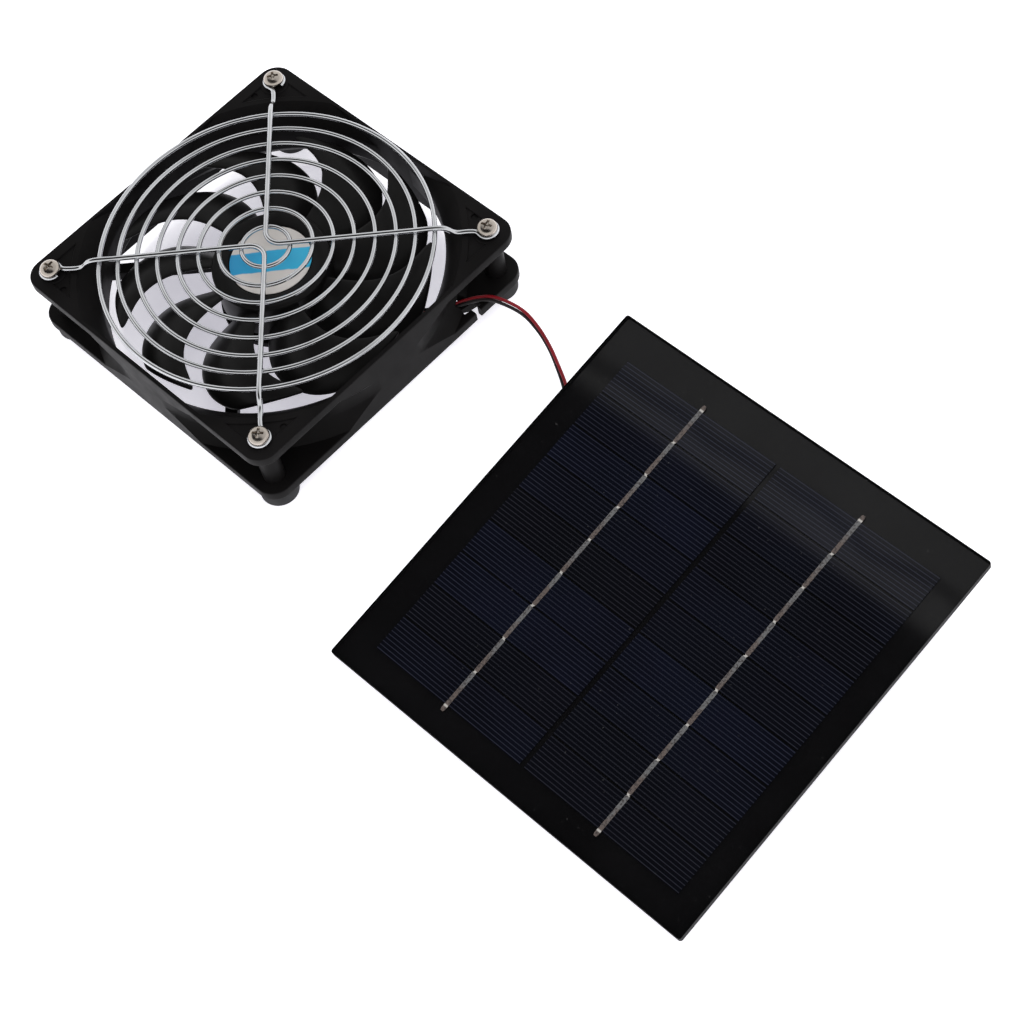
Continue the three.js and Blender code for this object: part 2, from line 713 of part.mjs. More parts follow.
// A tinned ribbon down the middle of a column, pinched in where it dips from one cell to the next.
function ribbon(column) {
  const [x, lowest] = cellCentre(column, 0);
  const [, highest] = cellCentre(column, CELL.rows - 1);
  const low = lowest - CELL.height / 2 - RIBBON.overrun;
  const high = highest + CELL.height / 2 + RIBBON.overrun;
  const side = [[RIBBON.width / 2, low]];
  for (let row = 0; row < CELL.rows - 1; row++) {
    const joint = cellCentre(column, row)[1] + CELL.pitchY / 2;
    side.push([RIBBON.width / 2, joint - RIBBON.taper], [RIBBON.neck / 2, joint - RIBBON.taper / 2]);
    side.push([RIBBON.neck / 2, joint + RIBBON.taper / 2], [RIBBON.width / 2, joint + RIBBON.taper]);
  }
  side.push([RIBBON.width / 2, high]);
  const mirrored = side.map(([w, y]) => [-w, y]).reverse();
  const outline = [...side, ...mirrored].map(([w, y]) => new THREE.Vector2(x + w, y));
  const under = CELL_LEVEL + CELL.thick / 2 + 0.1;
  return prism(new THREE.Shape(outline), under, under + RIBBON.thick);
}

// Junction box: an open tray stuck to the board's back, closed by a lid that the panel leans on.
const BOX_MIDDLE_Y = BOX.start + BOX.depth / 2;
const GLAND = { y: BOX.start + 6.5, z: -9.4, radius: 2.9, flange: 3.6, lip: 1.4, hole: 1.8, play: 0.2 };

function boxTray() {
  const low = -BOX.height + BOX.lid + GAP;
  const high = -GAP;
  const outer = block(BOX.width, BOX.depth, high - low, 0, BOX_MIDDLE_Y, (low + high) / 2);
  const inner = block(
    BOX.width - 2 * BOX.wall,
    BOX.depth - 2 * BOX.wall,
    high - low,
    0,
    BOX_MIDDLE_Y,
    (low + high) / 2 - BOX.wall,
  );
  const drill = turned(disc(GLAND.radius + GLAND.play, -BOX.width / 2 - 2, -BOX.width / 2 + 6), 20);
  const hole = toSolid(drill.rotateY(Math.PI / 2).translate(0, GLAND.y, GLAND.z));
  let tray = toSolid(outer).subtract(toSolid(inner)).subtract(hole);
  for (const side of [-1, 1]) {
    const x = side * (BOX.width / 2 - BOX.wall - BOX_BOSS.inset);
    const y = BOX_MIDDLE_Y + BOX_BOSS.y;
    const boss = turned(disc(BOX_BOSS.radius, low, high - 1), 16).translate(x, y, 0);
    const bore = turned(disc(BOX_BOSS.bore, low - 1, high - 5), 12).translate(x, y, 0);
    tray = tray.add(toSolid(boss)).subtract(toSolid(bore));
  }
  return toGeometry(tray);
}

function boxLid() {
  const low = -BOX.height;
  return block(BOX.width, BOX.depth, BOX.lid, 0, BOX_MIDDLE_Y, low + BOX.lid / 2);
}

// The rubber grommet in the box's wall, with one hole for both wires.
function leadGrommet() {
  const face = -BOX.width / 2;
  const low = face - GLAND.lip;
  const high = face + BOX.wall + GLAND.lip;
  return turned([
    [GLAND.hole, low],
    [GLAND.flange, low],
    [GLAND.flange, face - GLAND.play],
    [GLAND.radius, face - GLAND.play],
    [GLAND.radius, face + BOX.wall + GLAND.play],
    [GLAND.flange, face + BOX.wall + GLAND.play],
    [GLAND.flange, high],
    [GLAND.hole, high],
    [GLAND.hole, low],
  ], 20).rotateY(Math.PI / 2).translate(0, GLAND.y, GLAND.z);
}

// The blocking diode, a small barrel with its two wire legs.
function diode() {
  const { leg, reach, barrel, half, x, z } = DIODE;
  return turned([
    [0, -reach],
    [leg, -reach],
    [leg, -half],
    [barrel, -half],
    [barrel, half],
    [leg, half],
    [leg, reach],
    [0, reach],
  ], 12).rotateX(Math.PI / 2).translate(x, BOX_MIDDLE_Y, z);
}

// ---------------------------------------------------------------- twin lead

// The lead's centre line from the motor board, along the groove, through the window and down to the
// coil, then on from the coil to the grommet in the junction box. The fan's axis is X = Y = 0.
const LEAD_OUT = [
  [17.3, -3.9, 9.35],
  [24, 2.67, 9.35],
  [34, 12.47, 9.35],
  [44, 22.27, 9.35],
  [48, 26.2, 9.6],
  [51.2, 30.6, 10.6],
  [54.1, 35.6, 11],
  [56.6, 39.2, 11],
  [59.4, 41.9, 11],
  [63.1, 43.8, 10.6],
  [71, 46, 8.6],
  [78.2, 45.5, 6],
  [84.9, 43.5, 3.8],
  [91.5, 40.3, 2.5],
  [98.9, 36, 1.7],
  [104.4, 31.4, 1.6],
  [108.8, 25.4, 1.6],
  [111.5, 18.8, 1.6],
  [112.8, 12.2, 1.6],
];
const LEAD_IN = [
  [138.4, -9.6, 4.8],
  [142.8, -7.4, 4.3],
  [146, -3.2, 3.7],
  [147.6, 2.2, 3.4],
  [148.6, 7.6, 3.7],
  [150.6, 12.4, 5],
  [153.6, 15, 6.3],
  [157.2, 15.5, 6.6],
  [161, 15.5, 6.6],
];
const COIL = { middle: [128, 4], low: 0.95, high: 5.3, red: 13.3, black: 14.75 };
const TIE = { angle: 75, width: 3, band: 0.55, slack: 0.3, lock: 2.3 };

// How far the pair has rolled over at a given distance from the fan's axis along X.
function rollAt(x) {
  const share = (x - ROLL.from) / (ROLL.to - ROLL.from);
  return share > 0 && share < 1 ? ROLL.angle * Math.sin(Math.PI * share) : 0;
}

// One wire of the pair, on the left (+1) or the right (-1) of the lead's centre line.
function leadWire(route, side) {
  const middle = new THREE.CatmullRomCurve3(
    route.map((point) => new THREE.Vector3(...point)),
    false,
    "centripetal",
  );
  const count = 2 * (route.length - 1);
  const points = [];
  for (let i = 0; i <= count; i++) {
    const point = middle.getPoint(i / count);
    const along = middle.getTangent(i / count);
    const roll = rollAt(point.x);
    const shift = (side * WIRE.pitch) / 2;
    const flat = (shift * Math.cos(roll)) / Math.hypot(along.x, along.y);
    const lift = shift * Math.sin(roll);
    points.push(new THREE.Vector3(point.x - flat * along.y, point.y + flat * along.x, point.z + lift));
  }
  const curve = new THREE.CatmullRomCurve3(points, false, "centripetal");
  const steps = Math.round(curve.getLength() / WIRE.step);
  return wireAlong(curve, WIRE.radius, WIRE.sides, steps);
}

// One wire's stacked turns in the coil of spare lead, as a single closed ring.
function coilRing(radius) {
  const [x, y] = COIL.middle;
  const profile = ring(radius - WIRE.radius, radius + WIRE.radius, COIL.low, COIL.high);
  return turned(profile, 24).translate(x, y, 0);
}

// The flat band that holds the coil together, wrapped round all its turns at one place.
function leadTie() {
  const inner = COIL.red - WIRE.radius - TIE.slack;
  const outer = COIL.black + WIRE.radius + TIE.slack;
  const low = COIL.low - TIE.slack;
  const high = COIL.high + TIE.slack;
  const middle = (inner + outer) / 2;
  const level = (low + high) / 2;
  const wide = outer - inner;
  const tall = high - low;
  const around = block(wide + 2 * TIE.band, TIE.width, tall + 2 * TIE.band, middle, 0, level);
  const opening = block(wide, TIE.width + 2, tall, middle, 0, level);
  const lock = block(TIE.lock, TIE.width + 1, TIE.lock, outer + TIE.band + 0.8, 0, level);
  const tie = toSolid(around).subtract(toSolid(opening)).add(toSolid(lock));
  const [x, y] = COIL.middle;
  return toGeometry(tie).rotateZ(TIE.angle * DEG).translate(x, y, 0);
}

// ---------------------------------------------------------------- assembly

function fanHalf() {
  const half = new THREE.Group();
  const add = (name, geometry, material) => {
    const mesh = piece(name, geometry, material);
    half.add(mesh);
    return mesh;
  };
  const hubTop = TOP_Z - HUB.top;
  const labelRadius = HUB.labelRadius - GAP;
  add("fan_frame", fanFrame(), BLACK_PLASTIC);
  add("impeller", impeller(), BLADE_PLASTIC);
  add("hub_label", turned(disc(labelRadius, hubTop - 0.4, hubTop - 0.15), 36), LABEL);
  add("rear_label", turned(disc(labelRadius, BASE_Z + 0.15, BASE_Z + 0.4), 36), LABEL);
  add("rotor_yoke", rotorYoke(), STEEL);
  add("rotor_magnet", turned(ring(MAGNET.inner, MAGNET.outer, MAGNET.low, MAGNET.high), 36), FERRITE);
  add("shaft", shaft(), STEEL);
  add("retaining_clip", retainingClip(), STEEL);
  add("thrust_washer", thrustWasher(), STEEL);
  add("lower_bearing", bearing(BEARING.seats[0]), STEEL);
  add("upper_bearing", bearing(BEARING.seats[1]), STEEL);
  add("stator_core", statorCore(), STEEL);
  add("stator_winding", statorWinding(), COPPER);
  add("motor_board", motorBoard(), CIRCUIT_BOARD);
  add("wire_guard", wireGuard(), CHROME);
  atCorners((x, y, i) => {
    const headZ = TOP_Z + GUARD.eyeHeight + GUARD.spokeWire + SCREW.seatGap;
    add(`guard_screw_${i + 1}`, panHeadScrew(SCREW.length), NICKEL).position.set(x, y, headZ);
    add(`foot_${i + 1}`, foot(), RUBBER).position.set(x, y, 0);
    const footScrew = add(`foot_screw_${i + 1}`, panHeadScrew(SCREW.length), NICKEL);
    footScrew.rotation.x = Math.PI;
    footScrew.position.set(x, y, FOOT.screwSeat - SCREW.seatGap);
  });
  add("red_lead", leadWire(LEAD_OUT, 1), RED_PVC);
  add("black_lead", leadWire(LEAD_OUT, -1), BLACK_PVC);
  add("red_lead_coil", coilRing(COIL.red), RED_PVC);
  add("black_lead_coil", coilRing(COIL.black), BLACK_PVC);
  add("red_lead_end", leadWire(LEAD_IN, 1), RED_PVC);
  add("black_lead_end", leadWire(LEAD_IN, -1), BLACK_PVC);
  add("lead_tie", leadTie(), BLACK_PLASTIC);
  half.position.set(...FAN_AXIS, 0);
  return half;
}

function panelHalf() {
  const half = new THREE.Group();
  half.add(piece("panel_board", panelPlate(0, PANEL.board), BLACK_PLASTIC));
  half.add(piece("panel_film", frontFilm(), CLEAR_FILM));
  let number = 0;
  for (let row = 0; row < CELL.rows; row++) {
    for (let column = 0; column < CELL.columns; column++) {
      number += 1;
      const [x, y] = cellCentre(column, row);
      const wafer = block(CELL.width, CELL.height, CELL.thick, x, y, CELL_LEVEL);
      half.add(piece(`cell_${number}`, wafer, CELL_BLUE));
    }
  }
  half.add(piece("ribbon_left", ribbon(0), TINNED));
  half.add(piece("ribbon_right", ribbon(1), TINNED));
  half.add(piece("box_base", boxTray(), BLACK_PLASTIC));
  half.add(piece("box_lid", boxLid(), BLACK_PLASTIC));
  half.add(piece("diode", diode(), FERRITE));
  half.add(piece("lead_gland", leadGrommet(), RUBBER));
  half.rotation.set(PANEL_TILT, 0, PANEL_YAW, "ZYX");
  half.position.set(...PANEL_FOOT, 0);
  return half;
}

const assembly = new THREE.Group();
assembly.name = "solar_attic_fan";
assembly.add(fanHalf(), panelHalf());

export default assembly;
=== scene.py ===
"""A small solar attic fan: its looks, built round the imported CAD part.

Everything is in metres in the part's own frame: +X runs from the fan to the panel, +Y up the panel's
slope and +Z up. Sizes below are written in millimetres and multiplied by MM where they are used.
"""
import json
import math

import bpy
import bmesh
from mathutils import Euler, Matrix, Vector


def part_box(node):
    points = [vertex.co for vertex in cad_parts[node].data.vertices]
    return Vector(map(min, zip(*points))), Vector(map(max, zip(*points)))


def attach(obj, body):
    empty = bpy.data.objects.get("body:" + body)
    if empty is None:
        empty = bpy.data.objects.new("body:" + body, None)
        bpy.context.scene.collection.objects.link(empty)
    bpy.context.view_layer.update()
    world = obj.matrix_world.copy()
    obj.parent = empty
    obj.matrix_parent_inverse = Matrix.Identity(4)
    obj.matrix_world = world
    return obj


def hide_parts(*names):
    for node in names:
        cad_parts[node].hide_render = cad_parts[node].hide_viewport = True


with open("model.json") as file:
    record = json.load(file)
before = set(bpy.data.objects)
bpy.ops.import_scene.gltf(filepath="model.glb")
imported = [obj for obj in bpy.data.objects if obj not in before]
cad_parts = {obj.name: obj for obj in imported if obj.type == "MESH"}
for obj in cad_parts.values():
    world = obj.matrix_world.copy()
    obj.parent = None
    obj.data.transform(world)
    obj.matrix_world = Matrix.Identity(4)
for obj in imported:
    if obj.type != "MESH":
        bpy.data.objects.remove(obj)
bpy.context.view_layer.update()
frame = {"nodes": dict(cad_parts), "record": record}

MM = 0.001
DEG = math.pi / 180

# ---------------------------------------------------------------- places taken from the frame


def middle_of(node):
    low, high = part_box(node)
    return (low + high) / 2


FAN = middle_of("fan_frame")
FAN_X = FAN.x
FAN_Y = FAN.y
TOP_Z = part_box("fan_frame")[1].z
BASE_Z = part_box("fan_frame")[0].z
BODY = "set"
ROTOR = "rotor"

# ---------------------------------------------------------------- sizes, in millimetres

SCREW_PLACE = 52.5  # each screw's distance from the fan's axis, along X and along Y

# The panel's low edge and how it stands, as in the CAD part: it leans on the box under its upper half.
PANEL_FOOT = Vector((84.9 * MM, -71.3 * MM, 0))
PANEL_YAW = 0.5 * DEG
BOX = {"width": 50, "depth": 40, "height": 15, "start": 92, "wall": 1.6, "lid": 1.8, "gap": 0.3}
PANEL_TILT = math.atan2(BOX["height"], BOX["start"])
PANEL_TURN = Euler((PANEL_TILT, 0, PANEL_YAW), "XYZ")
PANEL = {
    "side": 145,
    "board": 1.6,
    "total": 3.0,
    "corner": 1.0,
    "board_edge": 0.25,
    "film_edge": 0.14,
    "film_gap": 0.02,
}
CELL = {"rows": 9, "pitch_x": 63.3, "pitch_y": 13.65, "fingers": 10}
CELL_MIDDLE = (0.8, -1.2)
# A ribbon narrows to its neck over the taper's length; rise is its height above the board.
RIBBON = {
    "width": 1.5,
    "neck": 0.9,
    "taper": 0.7,
    "thick": 0.12,
    "overrun": 2,
    "rise": 0.55,
    "sway": 0.14,
}
GLAND = {"y": 98.5, "z": -9.4, "radius": 2.9, "flange": 3.6, "hole": 1.8}

# The fan's frame. The flare is what the duct's skin widens by towards each flange. The rims stand round
# the pockets in the top face: along the flange's edge, round the mouth and round the screw posts.
FRAME = {
    "side": 120,
    "corner": 7,
    "flange": 4,
    "edge": 0.55,
    "duct": 60.6,
    "flare": 4.2,
    "bore": 59,
    "bore_flat": 58.6,
    "mouth": 65.7,
    "mouth_depth": 8,
    "mouth_bend": (4.5, 3.2),
    "skin_depth": 6,
    "post": 3.7,
    "hole": 2.15,
    "pocket": 0.6,
    "rim": 4.6,
    "pocket_corner": 3,
    "mouth_rim": 2.2,
    "post_rim": 1.2,
}
MOTOR = {
    "radius": 21.3,
    "plate": 2.6,
    "plate_edge": 0.5,
    "recess": 0.6,
    "tube": 5.2,
    "tube_top": 19.9,
    "tube_bore": 4.1,
}
# A strut's line runs from the motor's plate to the duct, between places given by an angle in degrees
# and an inset. The sink is how much further it runs into the duct's wall.
STRUT = {
    "width": 4.4,
    "height": 4.2,
    "hub_angle": -10,
    "hub_inset": 3,
    "rim_angle": 30,
    "rim_inset": 0.8,
    "sink": 3.8,
    "groove": 3.2,
    "groove_depth": 1.9,
}
# The hub's top counts down from the frame's top face.
HUB = {
    "radius": 20.5,
    "top": 4.0,
    "height": 15.0,
    "wall": 1.6,
    "rim": 1.3,
    "label": 14.4,
    "recess": 0.5,
}
LABEL = {"thick": 0.25, "sink": 0.15, "inset": 0.3}
# The angles, in degrees, and the drops, in mm below the frame's top face, are polynomials of the way
# from root to tip. The blade's half thickness shrinks by the taper's share towards its two edges.
BLADE = {
    "count": 9,
    "tip": 54.8,
    "lead_angle": (263.4, 3.2, 1.8, 24.3),
    "chord_angle": (36.7, -7.9, 4.9),
    "lead_drop": (6.4, -0.3),
    "trail_drop": (18.2, -3.3),
    "camber": 2.4,
    "half": 0.75,
    "taper": 0.45,
    "edge": 0.9,
    "rows": 30,
    "columns": 19,
    "lead_tip": 6,
    "trail_tip": 5.3,
}
# A spoke steps down to its eyelet between the two step distances. The weld is how deep ring and spoke
# go into each other, and clear keeps the spokes under the CAD part's highest point.
GUARD = {
    "rings": (8.3, 16, 23, 30, 37, 44, 50.5, 57),
    "ring_wire": 0.8,
    "spoke_wire": 0.9,
    "height": 3.3,
    "bend": 5.5,
    "step_start": 59.5,
    "step_end": 64.0,
    "eye": 3.2,
    "eye_height": 1.05,
    "eye_start": 150,
    "eye_wrap": 285,
    "weld": 0.45,
    "clear": 0.12,
}
# The two crown values shape the domed head, and the last ones its cross recess and the gap under it.
SCREW = {
    "head": 3.6,
    "height": 2.0,
    "crown_angle": 70,
    "crown_share": 0.72,
    "shank": 1.9,
    "length": 12.0,
    "point": 0.5,
    "point_length": 2,
    "cross": 3.9,
    "slot": 0.9,
    "depth": 1.1,
    "gap": 0.15,
}
FOOT = {
    "height": 6.0,
    "radius": 6.6,
    "seat": 2.9,
    "bore": 2.2,
    "well": 4.2,
    "soft": 0.8,
    "flange_gap": 0.3,
}
# The lead's pair of wires rolls over between two distances from the fan's axis along X.
WIRE = {"radius": 0.58, "pitch": 1.3}
ROLL = {"angle": 70, "start": 58, "end": 110}

# ---------------------------------------------------------------- camera

CAMERA_FROM_FAN = Vector((427.4, -224.22, 620.94)) * MM
CAMERA_TURN = (30.541 * DEG, 6.95 * DEG, 43.686 * DEG)
CAMERA_LENS = 79.1


def make_camera():
    data = bpy.data.cameras.new("camera")
    data.lens = CAMERA_LENS
    data.sensor_width = 36
    data.clip_start = 0.01
    camera = bpy.data.objects.new("camera", data)
    camera.location = Vector((FAN_X, FAN_Y, 0)) + CAMERA_FROM_FAN
    camera.rotation_euler = CAMERA_TURN
    bpy.context.scene.collection.objects.link(camera)
    bpy.context.scene.camera = camera


make_camera()

# ---------------------------------------------------------------- mesh helpers

SHARP = 35 * DEG  # faces that meet at more than this have a sharp edge between them
HARD_SHARP = 32 * DEG  # the same for pieces with weighted normals


def new_piece(name, data):
    piece = bpy.data.objects.new(name, data)
    bpy.context.scene.collection.objects.link(piece)
    return piece


def mesh_object(name, points, faces, smooth=True):
    mesh = bpy.data.meshes.new(name)
    mesh.from_pydata([tuple(p) for p in points], [], faces)
    mesh.validate()
    piece = new_piece(name, mesh)
    tidy_normals(piece, smooth)
    return piece


def tidy_normals(piece, smooth=True, merge=0.0):
    """Turns the faces outward, after it joins points that lie closer than merge, in metres."""
    work = bmesh.new()
    work.from_mesh(piece.data)
    if merge:
        bmesh.ops.remove_doubles(work, verts=work.verts, dist=merge)
    bmesh.ops.recalc_face_normals(work, faces=work.faces)
    work.to_mesh(piece.data)
    work.free()
    if smooth:
        piece.data.shade_smooth()
        piece.data.set_sharp_from_angle(angle=SHARP)


def dress(piece, material, body, *nodes, slot):
    """Gives a new piece its material and body and hides the CAD nodes it stands for; slot is not used.
    """
    if material is not None:
        piece.data.materials.clear()
        piece.data.materials.append(material)
    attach(piece, body)
    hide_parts(*nodes)


def join(name, parts):
    """Joins several new mesh objects into one, keeping each one's material."""
    bpy.ops.object.select_all(action="DESELECT")
    for part in parts:
        part.select_set(True)
    bpy.context.view_layer.objects.active = parts[0]
    bpy.ops.object.join()
    parts[0].name = name
    parts[0].data.name = name
    return parts[0]


def lathe_data(profile, segments):
    """Points and faces of a turned solid from a (radius, z) profile in mm, axis to axis or a loop."""
    points = []
    rings = []
    for radius, z in profile:
        if radius < 1e-6:
            rings.append([len(points)] * segments)
            points.append((0, 0, z * MM))
            continue
        rings.append(list(range(len(points), len(points) + segments)))
        for i in range(segments):
            angle = 2 * math.pi * i / segments
            points.append((radius * MM * math.cos(angle), radius * MM * math.sin(angle), z * MM))
    faces = []
    for low, high in zip(rings, rings[1:]):
        for i in range(segments):
            j = (i + 1) % segments
            corners = []
            for corner in (low[i], low[j], high[j], high[i]):
                if corner not in corners:
                    corners.append(corner)
            if len(corners) > 2:
                faces.append(corners)
    return points, faces


def lathe(name, profile, segments=64, closed=False):
    if closed:
        profile = list(profile) + [profile[0]]
    piece = mesh_object(name, *lathe_data(profile, segments))
    tidy_normals(piece, merge=1e-6)
    return piece


def arc(cx, cz, radius, start, end, steps):
    """Points on an arc in a lathe profile, angles in degrees from the outward direction."""
    found = []
    for i in range(steps + 1):
        angle = (start + (end - start) * i / steps) * DEG
        found.append((cx + radius * math.cos(angle), cz + radius * math.sin(angle)))
    return found


def spline(source, per_span):
    """A centripetal Catmull-Rom curve through the points, as a denser list of points."""
    count = len(source)
    found = []

    def at(i):
        if i < 0:
            return source[0] * 2 - source[1]
        if i >= count:
            return source[-1] * 2 - source[-2]
        return source[i]

    for s in range(count - 1):
        p0, p1, p2, p3 = at(s - 1), at(s), at(s + 1), at(s + 2)
        t1 = max((p1 - p0).length ** 0.5, 1e-6)
        t2 = t1 + max((p2 - p1).length ** 0.5, 1e-6)
        t3 = t2 + max((p3 - p2).length ** 0.5, 1e-6)
        for k in range(per_span):
            t = t1 + (t2 - t1) * k / per_span
            a1 = p0 * ((t1 - t) / t1) + p1 * (t / t1)
            a2 = p1 * ((t2 - t) / (t2 - t1)) + p2 * ((t - t1) / (t2 - t1))
            a3 = p2 * ((t3 - t) / (t3 - t2)) + p3 * ((t - t2) / (t3 - t2))
            b1 = a1 * ((t2 - t) / t2) + a2 * (t / t2)
            b2 = a2 * ((t3 - t) / (t3 - t1)) + a3 * ((t - t1) / (t3 - t1))
            found.append(b1 * ((t2 - t) / (t2 - t1)) + b2 * ((t - t1) / (t2 - t1)))
    found.append(source[-1])
    return found


def tube_data(path, radius, sides, closed):
    """Points and faces of a round tube along a path, its section carried along without twist."""
    count = len(path)
    points = []
    faces = []
    side = None
    for i, here in enumerate(path):
        before = path[i - 1] if (i > 0 or closed) else here
        after = path[(i + 1) % count] if (i < count - 1 or closed) else here
        along = (after - before).normalized()
        if side is None:
            up = Vector((0, 0, 1)) if abs(along.z) < 0.9 else Vector((1, 0, 0))
            side = along.cross(up).normalized()
        side = (side - along * side.dot(along)).normalized()
        other = along.cross(side)
        for k in range(sides):
            angle = 2 * math.pi * k / sides
            points.append(here + (side * math.cos(angle) + other * math.sin(angle)) * radius)
    spans = count if closed else count - 1
    for i in range(spans):
        j = (i + 1) % count
        for k in range(sides):
            m = (k + 1) % sides
            faces.append([i * sides + k, i * sides + m, j * sides + m, j * sides + k])
    if not closed:
        faces.append(list(range(sides))[::-1])
        faces.append([(count - 1) * sides + k for k in range(sides)])
    return points, faces


def tube(name, path, radius, sides=12, closed=False):
    return mesh_object(name, *tube_data(path, radius, sides, closed))


def place(piece, x, y, z=0.0, turn=0.0):
    """Moves a new mesh by moving its points, so that its object stays at the origin."""
    piece.data.transform(Matrix.Translation((x, y, z)) @ Matrix.Rotation(turn, 4, "Z"))
    return piece


def to_panel(piece):
    """Moves a mesh made in the panel's own frame onto the leaning panel."""
    piece.data.transform(Matrix.Translation(PANEL_FOOT) @ PANEL_TURN.to_matrix().to_4x4())
    return piece


def bevelled_box(name, size, middle, radius, segments=3):
    """A box in mm with rounded edges."""
    work = bmesh.new()
    bmesh.ops.create_cube(work, size=1)
    for v in work.verts:
        v.co = Vector([v.co[k] * size[k] * MM + middle[k] * MM for k in range(3)])
    edges = work.edges[:]
    bmesh.ops.bevel(work, geom=edges, offset=radius * MM, segments=segments, profile=0.5, affect="EDGES")
    mesh = bpy.data.meshes.new(name)
    work.to_mesh(mesh)
    work.free()
    piece = new_piece(name, mesh)
    tidy_normals(piece)
    return piece


def cut(piece, cutters, operation="DIFFERENCE"):
    """Applies cuts with other meshes, which are then removed, and any modifier the piece has."""
    for cutter in cutters:
        modifier = piece.modifiers.new("cut", "BOOLEAN")
        modifier.operation = operation
        modifier.solver = "EXACT"
        modifier.object = cutter
    bpy.context.view_layer.update()
    evaluated = piece.evaluated_get(bpy.context.evaluated_depsgraph_get())
    result = bpy.data.meshes.new_from_object(evaluated)
    piece.modifiers.clear()
    old = piece.data
    piece.data = result
    bpy.data.meshes.remove(old)
    for cutter in cutters:
        bpy.data.objects.remove(cutter)
    return piece


def harden(piece):
    """Keeps big faces flat and small edge faces smooth, by weighting normals with the faces' areas."""
    piece.data.shade_smooth()
    piece.data.set_sharp_from_angle(angle=HARD_SHARP)
    modifier = piece.modifiers.new("weighted", "WEIGHTED_NORMAL")
    modifier.keep_sharp = True
    modifier.weight = 80
    return cut(piece, [])


def stacked(name, outline, levels):
    """A solid made of one outline at several heights. Each level is (inset, z) in mm."""
    points = []
    loops = []
    for inset, z in levels:
        loop = outline(inset)
        loops.append(list(range(len(points), len(points) + len(loop))))
        points += [(x * MM, y * MM, z * MM) for x, y in loop]
    faces = [loops[0][::-1], loops[-1]]
    for low, high in zip(loops, loops[1:]):
        for i in range(len(low)):
            j = (i + 1) % len(low)
            faces.append([low[i], low[j], high[j], high[i]])
    return mesh_object(name, points, faces)


QUARTERS = ((1, 1), (-1, 1), (-1, -1), (1, -1))  # the signs of X and Y in the four quarters


def rounded_square(half, corner, steps=8):
    """The outline of a square with round corners, as a function of the inset."""

    def outline(inset):
        radius = max(corner - inset, 0.05)
        straight = half - corner
        found = []
        for quarter, (sx, sy) in enumerate(QUARTERS):
            for i in range(steps + 1):
                angle = (90 * quarter + 90 * i / steps) * DEG
                x = sx * straight + radius * math.cos(angle)
                y = sy * straight + radius * math.sin(angle)
                found.append((x, y))
        return found

    return outline


ROUND_MIDDLE = 0.293  # how far the middle of a quarter round lies inside its corner, for a radius of 1


def softened(low, high, edge):
    """Levels of a slab whose top and bottom edges are rounded."""
    near = ROUND_MIDDLE * edge
    return [
        (edge, low),
        (near, low + near),
        (0, low + edge),
        (0, high - edge),
        (near, high - near),
        (edge, high),
    ]


# ---------------------------------------------------------------- twin lead

# The lead's centre line in mm, counted from the fan's axis, as in the CAD part: inside the fan, from
# the window in the duct to the coil, and from the coil to the gland in the junction box.
LEAD_INSIDE = [
    (17.3, -3.9, 9.35),
    (24, 2.67, 9.35),
    (34, 12.47, 9.35),
    (44, 22.27, 9.35),
    (48, 26.2, 9.6),
    (51.2, 30.6, 10.6),
    (54.1, 35.6, 11),
]
LEAD_OUT = [
    (54.1, 35.6, 11),
    (56.6, 39.2, 11),
    (59.4, 41.9, 11),
    (63.1, 43.8, 10.6),
    (71, 46, 8.6),
    (78.2, 45.5, 6),
    (84.9, 43.5, 3.8),
    (91.5, 40.3, 2.5),
    (98.9, 36, 1.7),
    (104.4, 31.4, 1.6),
    (108.8, 25.4, 1.6),
    (111.5, 18.8, 1.6),
    (112.8, 12.2, 1.6),
]
COIL = {"middle": (128, 4), "radius": 14.0, "low": 1.6, "pitch": 1.38, "turns": 2.25, "per_turn": 16}
LEAD_IN = [
    (138.4, -9.6, 4.8),
    (142.8, -7.4, 4.3),
    (146, -3.2, 3.7),
    (147.6, 2.2, 3.4),
    (148.6, 7.6, 3.7),
    (150.6, 12.4, 5),
    (153.6, 15, 6.3),
    (157.2, 15.5, 6.6),
    (161, 15.5, 6.6),
]


def coil_points():
    cx, cy = COIL["middle"]
    steps = round(COIL["turns"] * COIL["per_turn"])
    found = []
    for i in range(steps + 1):
        turned = COIL["turns"] * i / steps
        angle = math.pi + 2 * math.pi * turned
        z = COIL["low"] + COIL["pitch"] * turned
        found.append((cx + COIL["radius"] * math.cos(angle), cy + COIL["radius"] * math.sin(angle), z))
    return found


def roll_at(x):
    """How far the pair has rolled over, in radians, at a distance in metres from the axis along X."""
    share = (x / MM - ROLL["start"]) / (ROLL["end"] - ROLL["start"])
    return ROLL["angle"] * DEG * math.sin(math.pi * share) if 0 < share < 1 else 0.0


def beside(path, shift):
    """The line of one wire of the pair; +shift is to its left, or above it where the pair rolls."""
    found = []
    for i, here in enumerate(path):
        before = path[max(i - 1, 0)]
        after = path[min(i + 1, len(path) - 1)]
        along = after - before
        roll = roll_at(here.x - FAN_X)
        flat = shift * math.cos(roll) / math.hypot(along.x, along.y)
        found.append(here + Vector((-along.y * flat, along.x * flat, shift * math.sin(roll))))
    return found


def in_part_frame(points):
    return [Vector((FAN_X, FAN_Y, 0)) + Vector(p) * MM for p in points]


